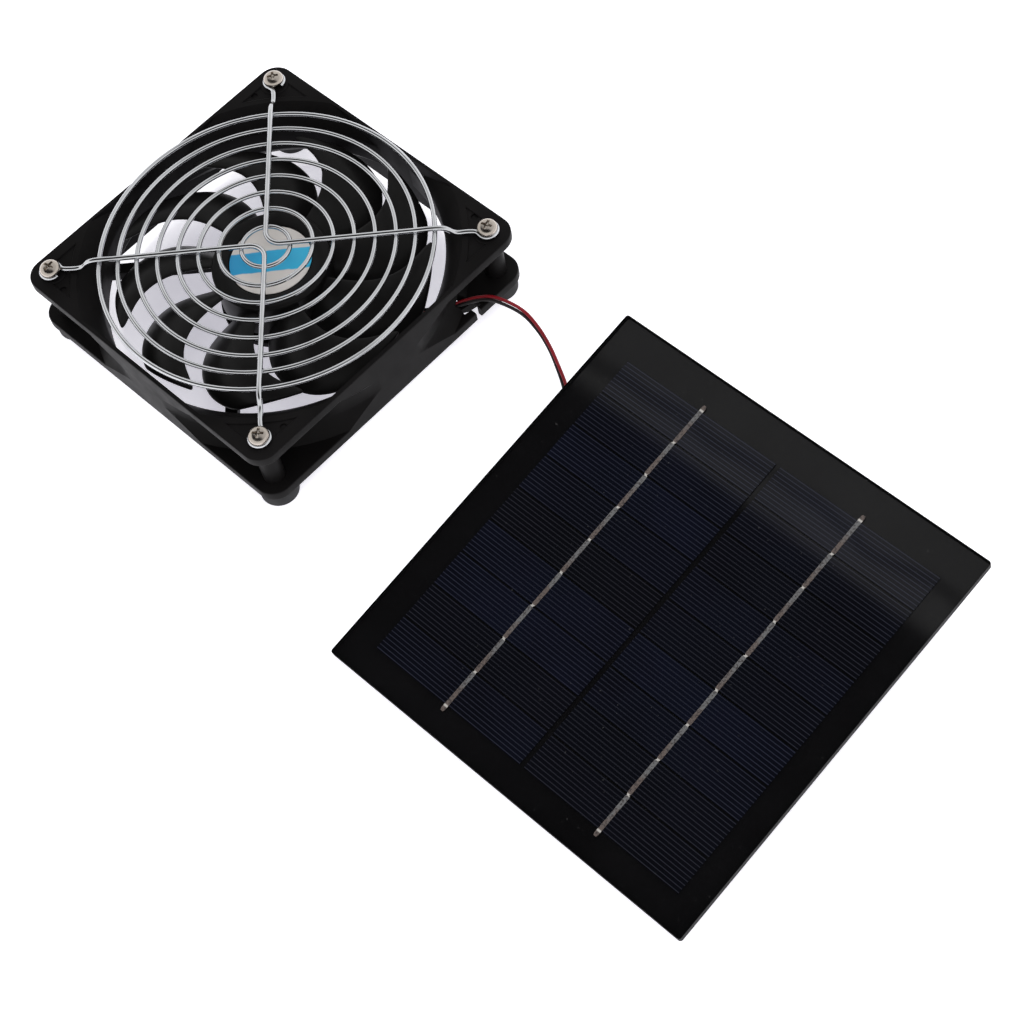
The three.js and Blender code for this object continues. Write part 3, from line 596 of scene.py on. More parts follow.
def make_leads():
    inside = spline(in_part_frame(LEAD_INSIDE), 5)
    outside = spline(in_part_frame(LEAD_OUT + coil_points() + LEAD_IN), 4)
    made = {}
    for colour, side in (("red", 1), ("black", -1)):
        shift = side * WIRE["pitch"] / 2 * MM
        tail = tube(f"{colour}_lead_tail", beside(inside, shift), WIRE["radius"] * MM, 12)
        path = beside(outside, shift)
        lead = tube(f"{colour}_lead_outside", path, WIRE["radius"] * MM, 12)
        made[colour] = (tail, lead, path)
    return made


leads = make_leads()

# ---------------------------------------------------------------- materials


class Nodes:
    """A short way to write a node tree, whose textures are laid out in one coordinate space."""

    def __init__(self, tree, space):
        self.tree = tree
        self.place = self.add("ShaderNodeTexCoord").outputs[space]

    def add(self, kind, **settings):
        node = self.tree.nodes.new(kind)
        for key, value in settings.items():
            setattr(node, key, value)
        return node

    def link(self, a, b):
        self.tree.links.new(a, b)

    def fill(self, socket, value):
        """Gives a socket a number or a colour, or links it to another node's output."""
        if isinstance(value, tuple):
            socket.default_value = (*value, 1)
        elif isinstance(value, (int, float)):
            socket.default_value = value
        else:
            self.link(value, socket)

    def noise(self, scale, detail=3.0, vector=None):
        node = self.add("ShaderNodeTexNoise")
        node.inputs["Scale"].default_value = scale
        node.inputs["Detail"].default_value = detail
        self.link(vector or self.place, node.inputs["Vector"])
        return node.outputs["Fac"]

    def ramp(self, value, low, high, start=0.0, end=1.0, way="LINEAR"):
        """A value from start to end, clamped, as value goes from low to high."""
        node = self.add("ShaderNodeMapRange", interpolation_type=way)
        node.inputs["From Min"].default_value = low
        node.inputs["From Max"].default_value = high
        node.inputs["To Min"].default_value = start
        node.inputs["To Max"].default_value = end
        self.link(value, node.inputs["Value"])
        return node.outputs[0]

    def mix(self, factor, first, second):
        node = self.add("ShaderNodeMix", data_type="RGBA")
        factor_socket, first_socket, second_socket = node.inputs[0], node.inputs[6], node.inputs[7]
        self.fill(factor_socket, factor)
        self.fill(first_socket, first)
        self.fill(second_socket, second)
        return node.outputs[2]

    def math(self, operation, first, second=0.0):
        node = self.add("ShaderNodeMath", operation=operation)
        self.fill(node.inputs[0], first)
        self.fill(node.inputs[1], second)
        return node.outputs[0]

    def axes(self, vector):
        node = self.add("ShaderNodeSeparateXYZ")
        self.link(vector, node.inputs[0])
        return node.outputs

    def counted_from(self, location, rotation=(0, 0, 0)):
        """The coordinates in a frame with its origin at location, in metres, and turned by rotation."""
        node = self.add("ShaderNodeMapping", vector_type="TEXTURE")
        node.inputs["Location"].default_value = location
        node.inputs["Rotation"].default_value = rotation
        self.link(self.place, node.inputs["Vector"])
        return node.outputs[0]

    def blotches(self, scale, first, second, detail=3.0, low=0.35, high=0.7):
        """Soft patches of two colours."""
        return self.mix(self.ramp(self.noise(scale, detail), low, high), first, second)


class Shader(Nodes):
    """One node material, round a principled shader."""

    def __init__(self, name, color, roughness=0.5, metallic=0.0, **sockets):
        self.material = bpy.data.materials.new(name)
        self.material.use_nodes = True
        self.material.node_tree.nodes.clear()
        super().__init__(self.material.node_tree, "Object")
        self.output = self.add("ShaderNodeOutputMaterial")
        self.bsdf = self.add("ShaderNodeBsdfPrincipled")
        self.set("Base Color", color)
        self.set("Roughness", roughness)
        self.set("Metallic", metallic)
        for socket, value in sockets.items():
            self.set(socket.replace("_", " "), value)
        self.link(self.bsdf.outputs[0], self.output.inputs["Surface"])

    def set(self, socket, value):
        self.fill(self.bsdf.inputs[socket], value)

    def uneven_gloss(self, scale, smooth, rough, low=0.3, high=0.7):
        """Roughness that drifts between two values from place to place."""
        self.set("Roughness", self.ramp(self.noise(scale), low, high, smooth, rough))

    def grain(self, scale, detail, strength, distance, vector=None):
        """A fine bump; distance is its height in metres."""
        node = self.add("ShaderNodeBump")
        node.inputs["Strength"].default_value = strength
        node.inputs["Distance"].default_value = distance
        self.link(self.noise(scale, detail, vector), node.inputs["Height"])
        self.set("Normal", node.outputs[0])


def moulded_plastic(name, color, lighter, roughness, depth=0.1, gloss=0.3):
    s = Shader(name, color, roughness, Specular_IOR_Level=gloss)
    s.set("Base Color", s.blotches(38.0, color, lighter, 4.0))
    s.uneven_gloss(160.0, roughness - 0.05, roughness + 0.06)
    s.grain(1400.0, 2.0, depth, 0.00004)
    return s.material


def plated_wire(name, color, roughness):
    s = Shader(name, color, roughness, 1.0)
    s.uneven_gloss(420.0, roughness, roughness + 0.12, low=0.35)
    dull = tuple(0.8 * c for c in color)
    s.set("Base Color", s.blotches(90.0, color, dull, 4.0, low=0.45, high=0.75))
    s.grain(1500.0, 2.0, 0.05, 0.00003)
    return s.material


def soft_rubber():
    s = Shader("foot_rubber", (0.016, 0.016, 0.017), 0.7, Specular_IOR_Level=0.3)
    s.uneven_gloss(220.0, 0.62, 0.8)
    s.grain(1800.0, 3.0, 0.3, 0.00006)
    return s.material


def cable_skin(name, color, lighter):
    s = Shader(name, color, 0.38, Specular_IOR_Level=0.3)
    s.set("Base Color", s.blotches(70.0, color, lighter))
    s.uneven_gloss(300.0, 0.32, 0.46)
    s.grain(900.0, 2.0, 0.15, 0.00005)
    return s.material


LABEL_TURN = 46.6  # degrees that the band's direction makes with +X
BAND_HALF = 4.35  # half the blue band's width, mm
BAND_SHIFT = -0.45  # how far the band lies off the label's middle, mm
BAND_BLUR = 0.2  # how far the band's edge fades to each side, mm
BAND_WANDER = 0.3  # how far the edge wanders, mm
LABEL_HALF = 14  # half the label's width, over which the band's blue changes, mm


def hub_paper(name, with_band):
    """Blank coated paper; the front one has a plain blue band, lighter towards one end."""
    paper = (0.62, 0.585, 0.56)
    s = Shader(name, paper, 0.42)
    base = s.blotches(55.0, paper, (0.7, 0.66, 0.63), low=0.3)
    if with_band:
        axes = s.axes(s.counted_from((FAN_X, FAN_Y, 0), (0, 0, LABEL_TURN * DEG)))
        wander = s.ramp(s.noise(170.0), 0.3, 0.7, -BAND_WANDER * MM, BAND_WANDER * MM)
        middle = s.math("ADD", axes["Y"], -BAND_SHIFT * MM)
        across = s.math("ABSOLUTE", s.math("ADD", middle, wander))
        band = s.ramp(across, (BAND_HALF - BAND_BLUR) * MM, (BAND_HALF + BAND_BLUR) * MM, 1.0, 0.0)
        along = s.ramp(axes["X"], -LABEL_HALF * MM, LABEL_HALF * MM)
        ink = s.mix(along, (0.018, 0.31, 0.6), (0.03, 0.48, 0.76))
        base = s.mix(band, base, ink)
    s.set("Base Color", base)
    s.grain(1200.0, 3.0, 0.08, 0.00004)
    return s.material


# What lies under the clear film is drawn with the film's gloss.
FILM_ROUGHNESS = 0.028
FILM_GLOSS = 0.42


def laminated(name, color):
    """A shader with the film's gloss."""
    s = Shader(name, color, FILM_ROUGHNESS, Specular_IOR_Level=FILM_GLOSS)
    s.uneven_gloss(40.0, FILM_ROUGHNESS, FILM_ROUGHNESS + 0.01, 0.35, 0.65)
    return s


def cell_grid(s):
    """The point in the panel's own frame, its axes, and its way up from the lowest cells' edge."""
    vector = s.counted_from(PANEL_FOOT, PANEL_TURN)
    axes = s.axes(vector)
    low_edge = (PANEL["side"] / 2 + CELL_MIDDLE[1] - CELL["rows"] * CELL["pitch_y"] / 2) * MM
    return vector, axes, s.math("SUBTRACT", axes["Y"], low_edge)


FINGER = {"core": 0.1, "edge": 0.22, "strength": 0.9}  # half widths of a printed finger, mm
COLUMN_STEP = 40.0  # more than the rows, so that each cell has its own number


def silicon():
    """Dark blue silicon, each cell a little different, with fine printed fingers across it."""
    s = laminated("cell_silicon", (0.003, 0.0035, 0.01))
    vector, axes, from_edge = cell_grid(s)
    row = s.math("FLOOR", s.math("DIVIDE", from_edge, CELL["pitch_y"] * MM))
    column = s.math("GREATER_THAN", axes["X"], CELL_MIDDLE[0] * MM)
    shade = s.add("ShaderNodeTexWhiteNoise", noise_dimensions="1D")
    s.link(s.math("ADD", row, s.math("MULTIPLY", column, COLUMN_STEP)), shade.inputs["W"])
    colour = s.mix(shade.outputs["Value"], (0.0028, 0.003, 0.0047), (0.0037, 0.0045, 0.0104))
    cloud = s.ramp(s.noise(30.0, 3.0, vector), 0.42, 0.62, 0.0, 0.55)
    colour = s.mix(cloud, colour, (0.002, 0.0021, 0.0034))
    within = s.math("MODULO", from_edge, CELL["pitch_y"] * MM)
    step = CELL["pitch_y"] / CELL["fingers"] * MM
    phase = s.math("PINGPONG", s.math("ADD", within, step / 2), step / 2)
    finger = s.ramp(phase, FINGER["core"] * MM, FINGER["edge"] * MM, FINGER["strength"], 0.0)
    silver = s.mix(shade.outputs["Value"], (0.0165, 0.017, 0.022), (0.0175, 0.0195, 0.031))
    s.set("Base Color", s.mix(finger, colour, silver))
    return s.material


def laminated_board():
    """The black board behind the cells, glossy because the clear film is pressed onto it."""
    dark = (0.0033, 0.0032, 0.0036)
    s = laminated("panel_board", dark)
    s.set("Base Color", s.blotches(38.0, dark, (0.0045, 0.0044, 0.0049), 4.0))
    return s.material


def clear_film():
    """The clear front film with a few specks of dust on it; what lies under it carries its gloss."""
    s = Shader("clear_film", (0.3, 0.3, 0.3), 0.6)
    clear = s.add("ShaderNodeBsdfTransparent")
    s.link(s.blotches(25.0, (1.0, 1.0, 1.0), (0.97, 0.97, 0.97), high=0.65), clear.inputs["Color"])
    mixer = s.add("ShaderNodeMixShader")
    s.link(s.ramp(s.noise(700.0, 2.0), 0.74, 0.8, 0.0, 0.12), mixer.inputs[0])
    s.link(clear.outputs[0], mixer.inputs[1])
    s.link(s.bsdf.outputs[0], mixer.inputs[2])
    s.link(mixer.outputs[0], s.output.inputs["Surface"])
    return s.material


def tinned_ribbon():
    """Tinned ribbon: grey at each cell's upper end, brown and mottled below, bright at its dips."""
    s = Shader("ribbon", (0.3, 0.28, 0.25), 0.5, 0.1)
    vector, _, from_edge = cell_grid(s)
    pitch = CELL["pitch_y"] * MM
    spots = s.noise(1300.0, 4.0, vector)
    drift = s.ramp(s.noise(200.0, 3.0, vector), 0.3, 0.7, -0.25 * pitch, 0.25 * pitch)
    within = s.math("ADD", s.math("MODULO", from_edge, pitch), drift)
    base = s.mix(s.ramp(within, 0.3 * pitch, 0.6 * pitch), (0.104, 0.08, 0.071), (0.122, 0.122, 0.125))
    base = s.mix(s.ramp(spots, 0.5, 0.6, 0.0, 0.85), base, (0.03, 0.024, 0.024))
    dip = s.ramp(s.math("PINGPONG", from_edge, pitch / 2), 0.2 * MM, 0.5 * MM, 0.9, 0.0)
    s.set("Base Color", s.mix(dip, base, (0.5, 0.48, 0.45)))
    s.set("Roughness", s.ramp(spots, 0.3, 0.7, 0.4, 0.6))
    s.grain(1200.0, 3.0, 0.5, 0.00008, vector)
    return s.material


def metal(name, color, roughness):
    s = Shader(name, color, roughness, 1.0)
    s.uneven_gloss(500.0, roughness - 0.05, roughness + 0.1)
    s.grain(1400.0, 2.0, 0.06, 0.00003)
    return s.material


def sprayed(name, color, lighter, roughness):
    s = Shader(name, color, roughness)
    s.set("Base Color", s.blotches(120.0, color, lighter))
    s.grain(1600.0, 3.0, 0.2, 0.00004)
    return s.material


LOOKS = {
    "frame_plastic": moulded_plastic(
        "frame_plastic", (0.0045, 0.0041, 0.0042), (0.008, 0.0074, 0.0076), 0.42, gloss=0.05
    ),
    "blade_plastic": moulded_plastic(
        "blade_plastic", (0.0045, 0.0042, 0.0042), (0.0075, 0.0072, 0.0072), 0.36, depth=0.08, gloss=0.14
    ),
    "front_label": hub_paper("front_label", True),
    "rear_label": hub_paper("rear_label", False),
    "steel": metal("steel", (0.5, 0.5, 0.51), 0.35),
    "ferrite": sprayed("ferrite", (0.04, 0.04, 0.043), (0.06, 0.06, 0.062), 0.75),
    "copper": metal("copper", (0.72, 0.3, 0.12), 0.3),
    "circuit_board": sprayed("circuit_board", (0.015, 0.12, 0.045), (0.02, 0.16, 0.06), 0.4),
    "chrome_wire": plated_wire("chrome_wire", (0.64, 0.65, 0.67), 0.07),
    "screw_nickel": plated_wire("screw_nickel", (0.5, 0.45, 0.4), 0.16),
    "foot_rubber": soft_rubber(),
    "red_pvc": cable_skin("red_pvc", (0.18, 0.003, 0.008), (0.26, 0.006, 0.014)),
    "black_pvc": cable_skin("black_pvc", (0.008, 0.006, 0.0065), (0.013, 0.01, 0.011)),
    "tie_plastic": moulded_plastic("tie_plastic", (0.01, 0.01, 0.011), (0.018, 0.018, 0.02), 0.4),
    "panel_board": laminated_board(),
    "panel_edge": moulded_plastic(
        "panel_edge", (0.0028, 0.0028, 0.003), (0.004, 0.004, 0.0043), 0.45, depth=0.03, gloss=0.08
    ),
    "panel_film": clear_film(),
    "cell": silicon(),
    "ribbon": tinned_ribbon(),
    "box_plastic": moulded_plastic(
        "box_plastic", (0.006, 0.006, 0.0065), (0.009, 0.009, 0.01), 0.42, gloss=0.25
    ),
    "diode": sprayed("diode", (0.012, 0.012, 0.013), (0.02, 0.02, 0.022), 0.4),
    "gland_rubber": sprayed("gland_rubber", (0.014, 0.014, 0.015), (0.02, 0.02, 0.021), 0.7),
}


def dress_cad_nodes():
    """Every CAD node gets its record slot's material; pieces made below stand for some of them."""
    for row in frame["record"]["subparts"]:
        node = frame["nodes"][row["node"]]
        node.data.materials.clear()
        node.data.materials.append(LOOKS[row["material_slot"]])


dress_cad_nodes()

# ---------------------------------------------------------------- leads, dressed


def declare_leads():
    for colour, (tail, lead, path) in leads.items():
        slot = f"{colour}_pvc"
        dress(tail, LOOKS[slot], BODY, f"{colour}_lead", slot=slot)
        covers = [f"{colour}_lead", f"{colour}_lead_coil", f"{colour}_lead_end"]
        dress(lead, LOOKS[slot], BODY, *covers, slot=slot)


declare_leads()

# ---------------------------------------------------------------- fan frame


def polar(radius, degrees):
    return radius * math.cos(degrees * DEG), radius * math.sin(degrees * DEG)


def at_corners():
    """The screws' places in the order of the CAD nodes' numbers, in mm from the fan's axis."""
    for sx, sy in QUARTERS:
        yield sx * SCREW_PLACE, sy * SCREW_PLACE


def round_bar(name, radius, low, high, x=0.0, y=0.0, segments=48):
    piece = lathe(name, [(0, low), (radius, low), (radius, high), (0, high)], segments)
    return place(piece, x * MM, y * MM)


def flared_skin(low, high):
    """The duct's outer skin, which widens in a soft curve behind each flange."""
    wide = FRAME["duct"] + FRAME["flare"]
    profile = [(0, low + 1), (wide, low + 1), (wide, low + FRAME["flange"])]
    for i in range(1, 9):
        share = i / 8
        radius = wide - FRAME["flare"] * (0.35 * math.sin(share * math.pi / 2) + 0.65 * share)
        profile.append((radius, low + FRAME["flange"] + share * FRAME["skin_depth"]))
    mirrored = [(radius, low + high - z) for radius, z in profile]
    return lathe("duct_skin", profile + mirrored[::-1], 144)


def air_way(low, high):
    """The bore with a rounded mouth at each face, cut flat behind the middle of each side."""
    bend_in, bend_down = FRAME["mouth_bend"]
    lip = []
    for i in range(13):
        t = i / 12
        start, turn, end = (1 - t) ** 2, 2 * t * (1 - t), t**2
        radius = start * FRAME["mouth"] + turn * (FRAME["mouth"] - bend_in) + end * FRAME["bore"]
        lip.append((radius, turn * bend_down + end * FRAME["mouth_depth"]))
    profile = [(0, low - 1), (FRAME["mouth"], low - 1)]
    profile += [(radius, low + depth) for radius, depth in lip]
    profile += [(radius, high - depth) for radius, depth in lip[::-1]]
    profile += [(FRAME["mouth"], high + 1), (0, high + 1)]
    way = lathe("air_way", profile, 144)
    flat = 2 * FRAME["bore_flat"]
    square = bevelled_box("way_square", (flat, flat, high - low + 4), (0, 0, (low + high) / 2), 0.02, 1)
    return cut(way, [square], "INTERSECT")


def wall_edges(floor, top):
    """A wall round a pocket as (how far out of its line, height), with soft edges at foot and top."""
    return [(0.3, floor), (0.08, floor + 0.1), (0, floor + 0.3), (0, top - 0.2), (-0.25, top + 0.01)]


def round_wall(name, radius, floor, top, segments):
    """What a round wall and all within it takes up, to be kept when a pocket is cut."""
    edges = [(radius + out, z) for out, z in wall_edges(floor, top)]
    foot, crown = edges[0][0], edges[-1][0]
    profile = [(0, floor - 1), (foot, floor - 1), *edges, (crown, top + 2), (0, top + 2)]
    return lathe(name, profile, segments)


def corner_pockets(top):
    """Shallow pockets in the top face's corners, inside a raised rim and round each screw's boss."""
    floor = top - FRAME["pocket"]
    half = FRAME["side"] / 2 - FRAME["rim"]
    edges = wall_edges(floor, top)
    levels = [*edges, (edges[-1][0], top + 1)]
    field = stacked("pocket_field", rounded_square(half, FRAME["pocket_corner"]), levels)
    keep = [round_wall("mouth_rim", FRAME["mouth"] + FRAME["mouth_rim"], floor, top, 144)]
    for x, y in at_corners():
        boss = round_wall("screw_boss", FRAME["post"] + FRAME["post_rim"], floor, top, 48)
        keep.append(place(boss, x * MM, y * MM))
    return cut(field, keep)


def strut_bar(name, index, width, low, high, edge):
    """A slanted bar from the motor's plate to the duct."""
    x0, y0 = polar(MOTOR["radius"] - STRUT["hub_inset"], STRUT["hub_angle"] + 90 * index)
    x1, y1 = polar(FRAME["duct"] - STRUT["rim_inset"], STRUT["rim_angle"] + 90 * index)
    length = math.hypot(x1 - x0, y1 - y0) + STRUT["sink"]
    bar = bevelled_box(name, (length, width, high - low), (length / 2, 0, (low + high) / 2), edge, 2)
    return place(bar, x0 * MM, y0 * MM, 0, math.atan2(y1 - y0, x1 - x0))


# Places and sizes in mm from the fan's axis, turns in degrees, as in the CAD part.
LEAD_SLOT = {
    "x": 56.5,
    "y": 35.9,
    "turn": -12,
    "width": 2.7,
    "length": 6.6,
    "stem_x": 59,
    "stem_y": 36.3,
    "stem_length": 5,
    "stem_width": 2.2,
}
WINDOW = {"x": 52.2, "y": 33, "turn": 54, "length": 14, "width": 4.6, "height": 3.6, "rise": 0.9}


def lead_openings(low):
    """The slot in the lower flange, the groove along the first strut and the window in the duct."""
    middle = low + FRAME["flange"] / 2
    tall = FRAME["flange"] + 2
    strut_top = low + STRUT["height"]
    cross_size = (LEAD_SLOT["width"], LEAD_SLOT["length"], tall)
    cross = bevelled_box("slot_cross", cross_size, (0, 0, middle), 0.3, 2)
    place(cross, LEAD_SLOT["x"] * MM, LEAD_SLOT["y"] * MM, 0, LEAD_SLOT["turn"] * DEG)
    stem_size = (LEAD_SLOT["stem_length"], LEAD_SLOT["stem_width"], tall)
    stem_middle = (LEAD_SLOT["stem_x"], LEAD_SLOT["stem_y"], middle)
    stem = bevelled_box("slot_stem", stem_size, stem_middle, 0.1, 1)
    groove_floor = strut_top - STRUT["groove_depth"]
    groove = strut_bar("groove", 0, STRUT["groove"], groove_floor, strut_top + 1, 0.2)
    window_size = (WINDOW["length"], WINDOW["width"], WINDOW["height"])
    window = bevelled_box("window", window_size, (0, 0, strut_top + WINDOW["rise"]), 0.3, 2)
    place(window, WINDOW["x"] * MM, WINDOW["y"] * MM, 0, WINDOW["turn"] * DEG)
    return [cross, stem, groove, window]


DIMPLE = {"radius": 1.3, "depth": 0.5, "along": 8.3, "out": 2.0}


def make_frame():
    low, high = BASE_Z / MM, TOP_Z / MM
    side, edge = FRAME["side"], FRAME["edge"]
    outline = rounded_square(side / 2, FRAME["corner"], 10)
    body = stacked("fan_frame_moulding", outline, [(0, low + 1), (0, high - 1)])
    cut(body, [flared_skin(low, high)], "INTERSECT")
    adds = [
        stacked("lower_flange", outline, softened(low, low + FRAME["flange"], edge)),
        stacked("upper_flange", outline, softened(high - FRAME["flange"], high, edge)),
    ]
    adds += [round_bar("post", FRAME["post"], low + 1, high - 1, x, y) for x, y in at_corners()]
    cut(body, adds, "UNION")
    cut(body, [air_way(low, high), corner_pockets(high)])
    plate_edge = MOTOR["plate_edge"]
    rim = MOTOR["radius"]
    top = low + MOTOR["plate"]
    plate_profile = [
        (0, low),
        (rim, low),
        (rim, top - plate_edge),
        *arc(rim - plate_edge, top - plate_edge, plate_edge, 0, 90, 4),
        (0, top),
    ]
    inner = [lathe("motor_plate", plate_profile, 96)]
    inner += [strut_bar("strut", i, STRUT["width"], low, low + STRUT["height"], 0.5) for i in range(4)]
    cut(body, inner, "UNION")
    cut(body, lead_openings(low))
    cut(body, [round_bar("bearing_tube", MOTOR["tube"], low + 1, MOTOR["tube_top"])], "UNION")
    recess = round_bar("rear_recess", HUB["label"], low - 1, low + MOTOR["recess"], segments=96)
    drills = [recess, round_bar("bearing_bore", MOTOR["tube_bore"], low, MOTOR["tube_top"] + 1)]
    for number, (x, y) in enumerate(at_corners()):
        drills.append(round_bar("screw_hole", FRAME["hole"], low - 1, high + 1, x, y))
        turn = 90 * (number + 1) * DEG
        across, along = SCREW_PLACE + DIMPLE["out"], -SCREW_PLACE + DIMPLE["along"]
        dx = across * math.cos(turn) - along * math.sin(turn)
        dy = across * math.sin(turn) + along * math.cos(turn)
        floor = high - FRAME["pocket"]
        dimple = round_bar("dimple", DIMPLE["radius"], floor - DIMPLE["depth"], floor + 0.25, dx, dy, 24)
        drills.append(dimple)
    cut(body, drills)
    body.data.transform(Matrix.Translation((FAN_X, FAN_Y, 0)))
    dress(harden(body), LOOKS["frame_plastic"], BODY, "fan_frame", slot="frame_plastic")


make_frame()

# ---------------------------------------------------------------- impeller


def polynomial(coefficients, t):
    return sum(value * t**power for power, value in enumerate(coefficients))


def corner_cut(radius, from_tip):
    if from_tip >= radius:
        return 0.0
    return radius - math.sqrt(radius**2 - (radius - from_tip) ** 2)


def blade_data(index, first):
    """One blade as two facing sheets of points that meet in rounded edges."""
    rows, columns = BLADE["rows"], BLADE["columns"]
    root = HUB["radius"] - 1
    points = []
    for side in (1, -1):
        for row in range(rows):
            t = math.sin(row / (rows - 1) * math.pi / 2)
            radius = root + (BLADE["tip"] - root) * t
            lead = polynomial(BLADE["lead_angle"], t) + 360 / BLADE["count"] * index
            chord = polynomial(BLADE["chord_angle"], t)
            arc_length = radius * chord * DEG
            start = corner_cut(BLADE["lead_tip"], BLADE["tip"] - radius) / arc_length
            end = 1 - corner_cut(BLADE["trail_tip"], BLADE["tip"] - radius) / arc_length
            for column in range(columns):
                share = (1 - math.cos(math.pi * column / (columns - 1))) / 2
                across = start + (end - start) * share
                angle = (lead - chord * across) * DEG
                drop_lead = polynomial(BLADE["lead_drop"], t)
                drop_trail = polynomial(BLADE["trail_drop"], t)
                drop = drop_lead * (1 - across) + drop_trail * across
                crown = 4 * BLADE["camber"] * across * (1 - across)
                near = min(share, 1 - share) * arc_length * (end - start)
                near = min(near, (BLADE["tip"] - radius) * 1.5)
                rim = math.sqrt(max(0.0, 1 - max(0.0, 1 - near / BLADE["edge"]) ** 2))
                thin = BLADE["half"] * (1 - BLADE["taper"] * (2 * across - 1) ** 2) * rim
                z = TOP_Z + (crown - drop + side * thin) * MM
                points.append((radius * math.cos(angle) * MM, radius * math.sin(angle) * MM, z))
    faces = []
    sheet = rows * columns
    for r in range(rows - 1):
        for c in range(columns - 1):
            a = first + r * columns + c
            faces.append([a, a + 1, a + columns + 1, a + columns])
            b = a + sheet
            faces.append([b, b + columns, b + columns + 1, b + 1])
    for c in range(columns - 1):
        a = first + c
        faces.append([a, a + sheet, a + sheet + 1, a + 1])
    return points, faces


def hub_profile():
    top = TOP_Z / MM - HUB["top"]
    low = top - HUB["height"]
    outer, inner = HUB["radius"], HUB["radius"] - HUB["wall"]
    rim = HUB["rim"]
    recess = HUB["label"] + 0.3
    return [
        (0, top - HUB["wall"]),
        (inner, top - HUB["wall"]),
        (inner, low),
        (outer - 0.3, low),
        (outer, low + 0.3),
        *arc(outer - rim, top - rim, rim, 0, 90, 8),
        (recess + 0.3, top),
        (recess, top - 0.15),
        (recess, top - HUB["recess"]),
        (0, top - HUB["recess"]),
    ]


def make_impeller():
    hub = lathe("impeller_hub", hub_profile(), 128)
    points = []
    faces = []
    for index in range(BLADE["count"]):
        more, quads = blade_data(index, len(points))
        points += more
        faces += quads
    blades = mesh_object("impeller_blades", points, faces)
    tidy_normals(blades, merge=2e-6)
    whole = join("impeller_moulding", [hub, blades])
    place(whole, FAN_X, FAN_Y)
    dress(whole, LOOKS["blade_plastic"], ROTOR, "impeller", slot="blade_plastic")


make_impeller()


def make_label():
    top = TOP_Z / MM - HUB["top"] - LABEL["sink"]
    radius = HUB["label"] - LABEL["inset"]
    low = top - LABEL["thick"]
    profile = [(0, low), (radius, low), (radius, top - 0.03), (radius - 0.05, top), (0, top)]
    disc = lathe("hub_label_paper", profile, 96)
    place(disc, FAN_X, FAN_Y)
    dress(disc, LOOKS["front_label"], ROTOR, "hub_label", slot="front_label")


make_label()

# ---------------------------------------------------------------- finger guard


def guard_wire_path(turn):
    """One bent wire from an open eye, over the rings, round the bend and out to the next open eye."""
    top = TOP_Z / MM
    rest = GUARD["ring_wire"] + GUARD["spoke_wire"] - GUARD["weld"] - GUARD["clear"]
    level = top + GUARD["height"] + rest
    eye_level = top + GUARD["eye_height"]
    centre = math.hypot(SCREW_PLACE, SCREW_PLACE)
    arm = []
    for i in range(16, -1, -1):
        angle = (GUARD["eye_start"] - i * GUARD["eye_wrap"] / 16) * DEG
        arm.append((centre + GUARD["eye"] * math.cos(angle), GUARD["eye"] * math.sin(angle), eye_level))
    stride = GUARD["step_end"] - GUARD["step_start"]
    rise = level - eye_level
    arm += [
        (centre - GUARD["eye"] * 1.25, GUARD["eye"] * 0.13, eye_level),
        (centre - GUARD["eye"] * 2, 0, eye_level),
        (GUARD["step_end"] + 0.5, 0, eye_level),
        (GUARD["step_start"] + stride * 0.75, 0, eye_level + rise * 0.2),
        (GUARD["step_start"] + stride * 0.25, 0, eye_level + rise * 0.8),
        (GUARD["step_start"] - 1, 0, level),
    ]
    straight = (50, 38, 26, 16, GUARD["bend"] + 1.5)  # stations on the way in, from the fan's axis
    arm += [(u, 0, level) for u in straight]

    def turned(points, way, side):
        found = []
        for u, w, z in points:
            angle = turn + way * DEG
            across = w * side
            x = u * math.cos(angle) - across * math.sin(angle)
            y = u * math.sin(angle) + across * math.cos(angle)
            found.append(Vector((x, y, z)))
        return found

    bend = []
    pivot = GUARD["bend"] * math.sqrt(2)
    for degrees in (215, 198, 180, 162, 145):  # round the pivot, on the side that faces the axis
        angle = turn + degrees * DEG
        x = pivot * math.cos(turn) + GUARD["bend"] * math.cos(angle)
        y = pivot * math.sin(turn) + GUARD["bend"] * math.sin(angle)
        bend.append(Vector((x, y, level)))
    path = turned(arm, -45, -1) + bend + turned(arm, 45, 1)[::-1]
    return [Vector((FAN_X, FAN_Y, 0)) + p * MM for p in path]


def make_guard():
    parts = []
    height = TOP_Z + GUARD["height"] * MM
    for number, radius in enumerate(GUARD["rings"]):
        around = int(40 + radius * 2)
        circle = []
        for i in range(around):
            angle = 2 * math.pi * i / around
            x = FAN_X + radius * MM * math.cos(angle)
            y = FAN_Y + radius * MM * math.sin(angle)
            circle.append(Vector((x, y, height)))
        parts.append(tube(f"guard_ring_{number}", circle, GUARD["ring_wire"] * MM, 14, closed=True))
    for number, turn in enumerate((90, 270)):
        path = spline(guard_wire_path(turn * DEG), 5)
        parts.append(tube(f"guard_wire_{number}", path, GUARD["spoke_wire"] * MM, 14))
    whole = join("finger_guard", parts)
    dress(whole, LOOKS["chrome_wire"], BODY, "wire_guard", slot="chrome_wire")


make_guard()

# ---------------------------------------------------------------- screws and feet


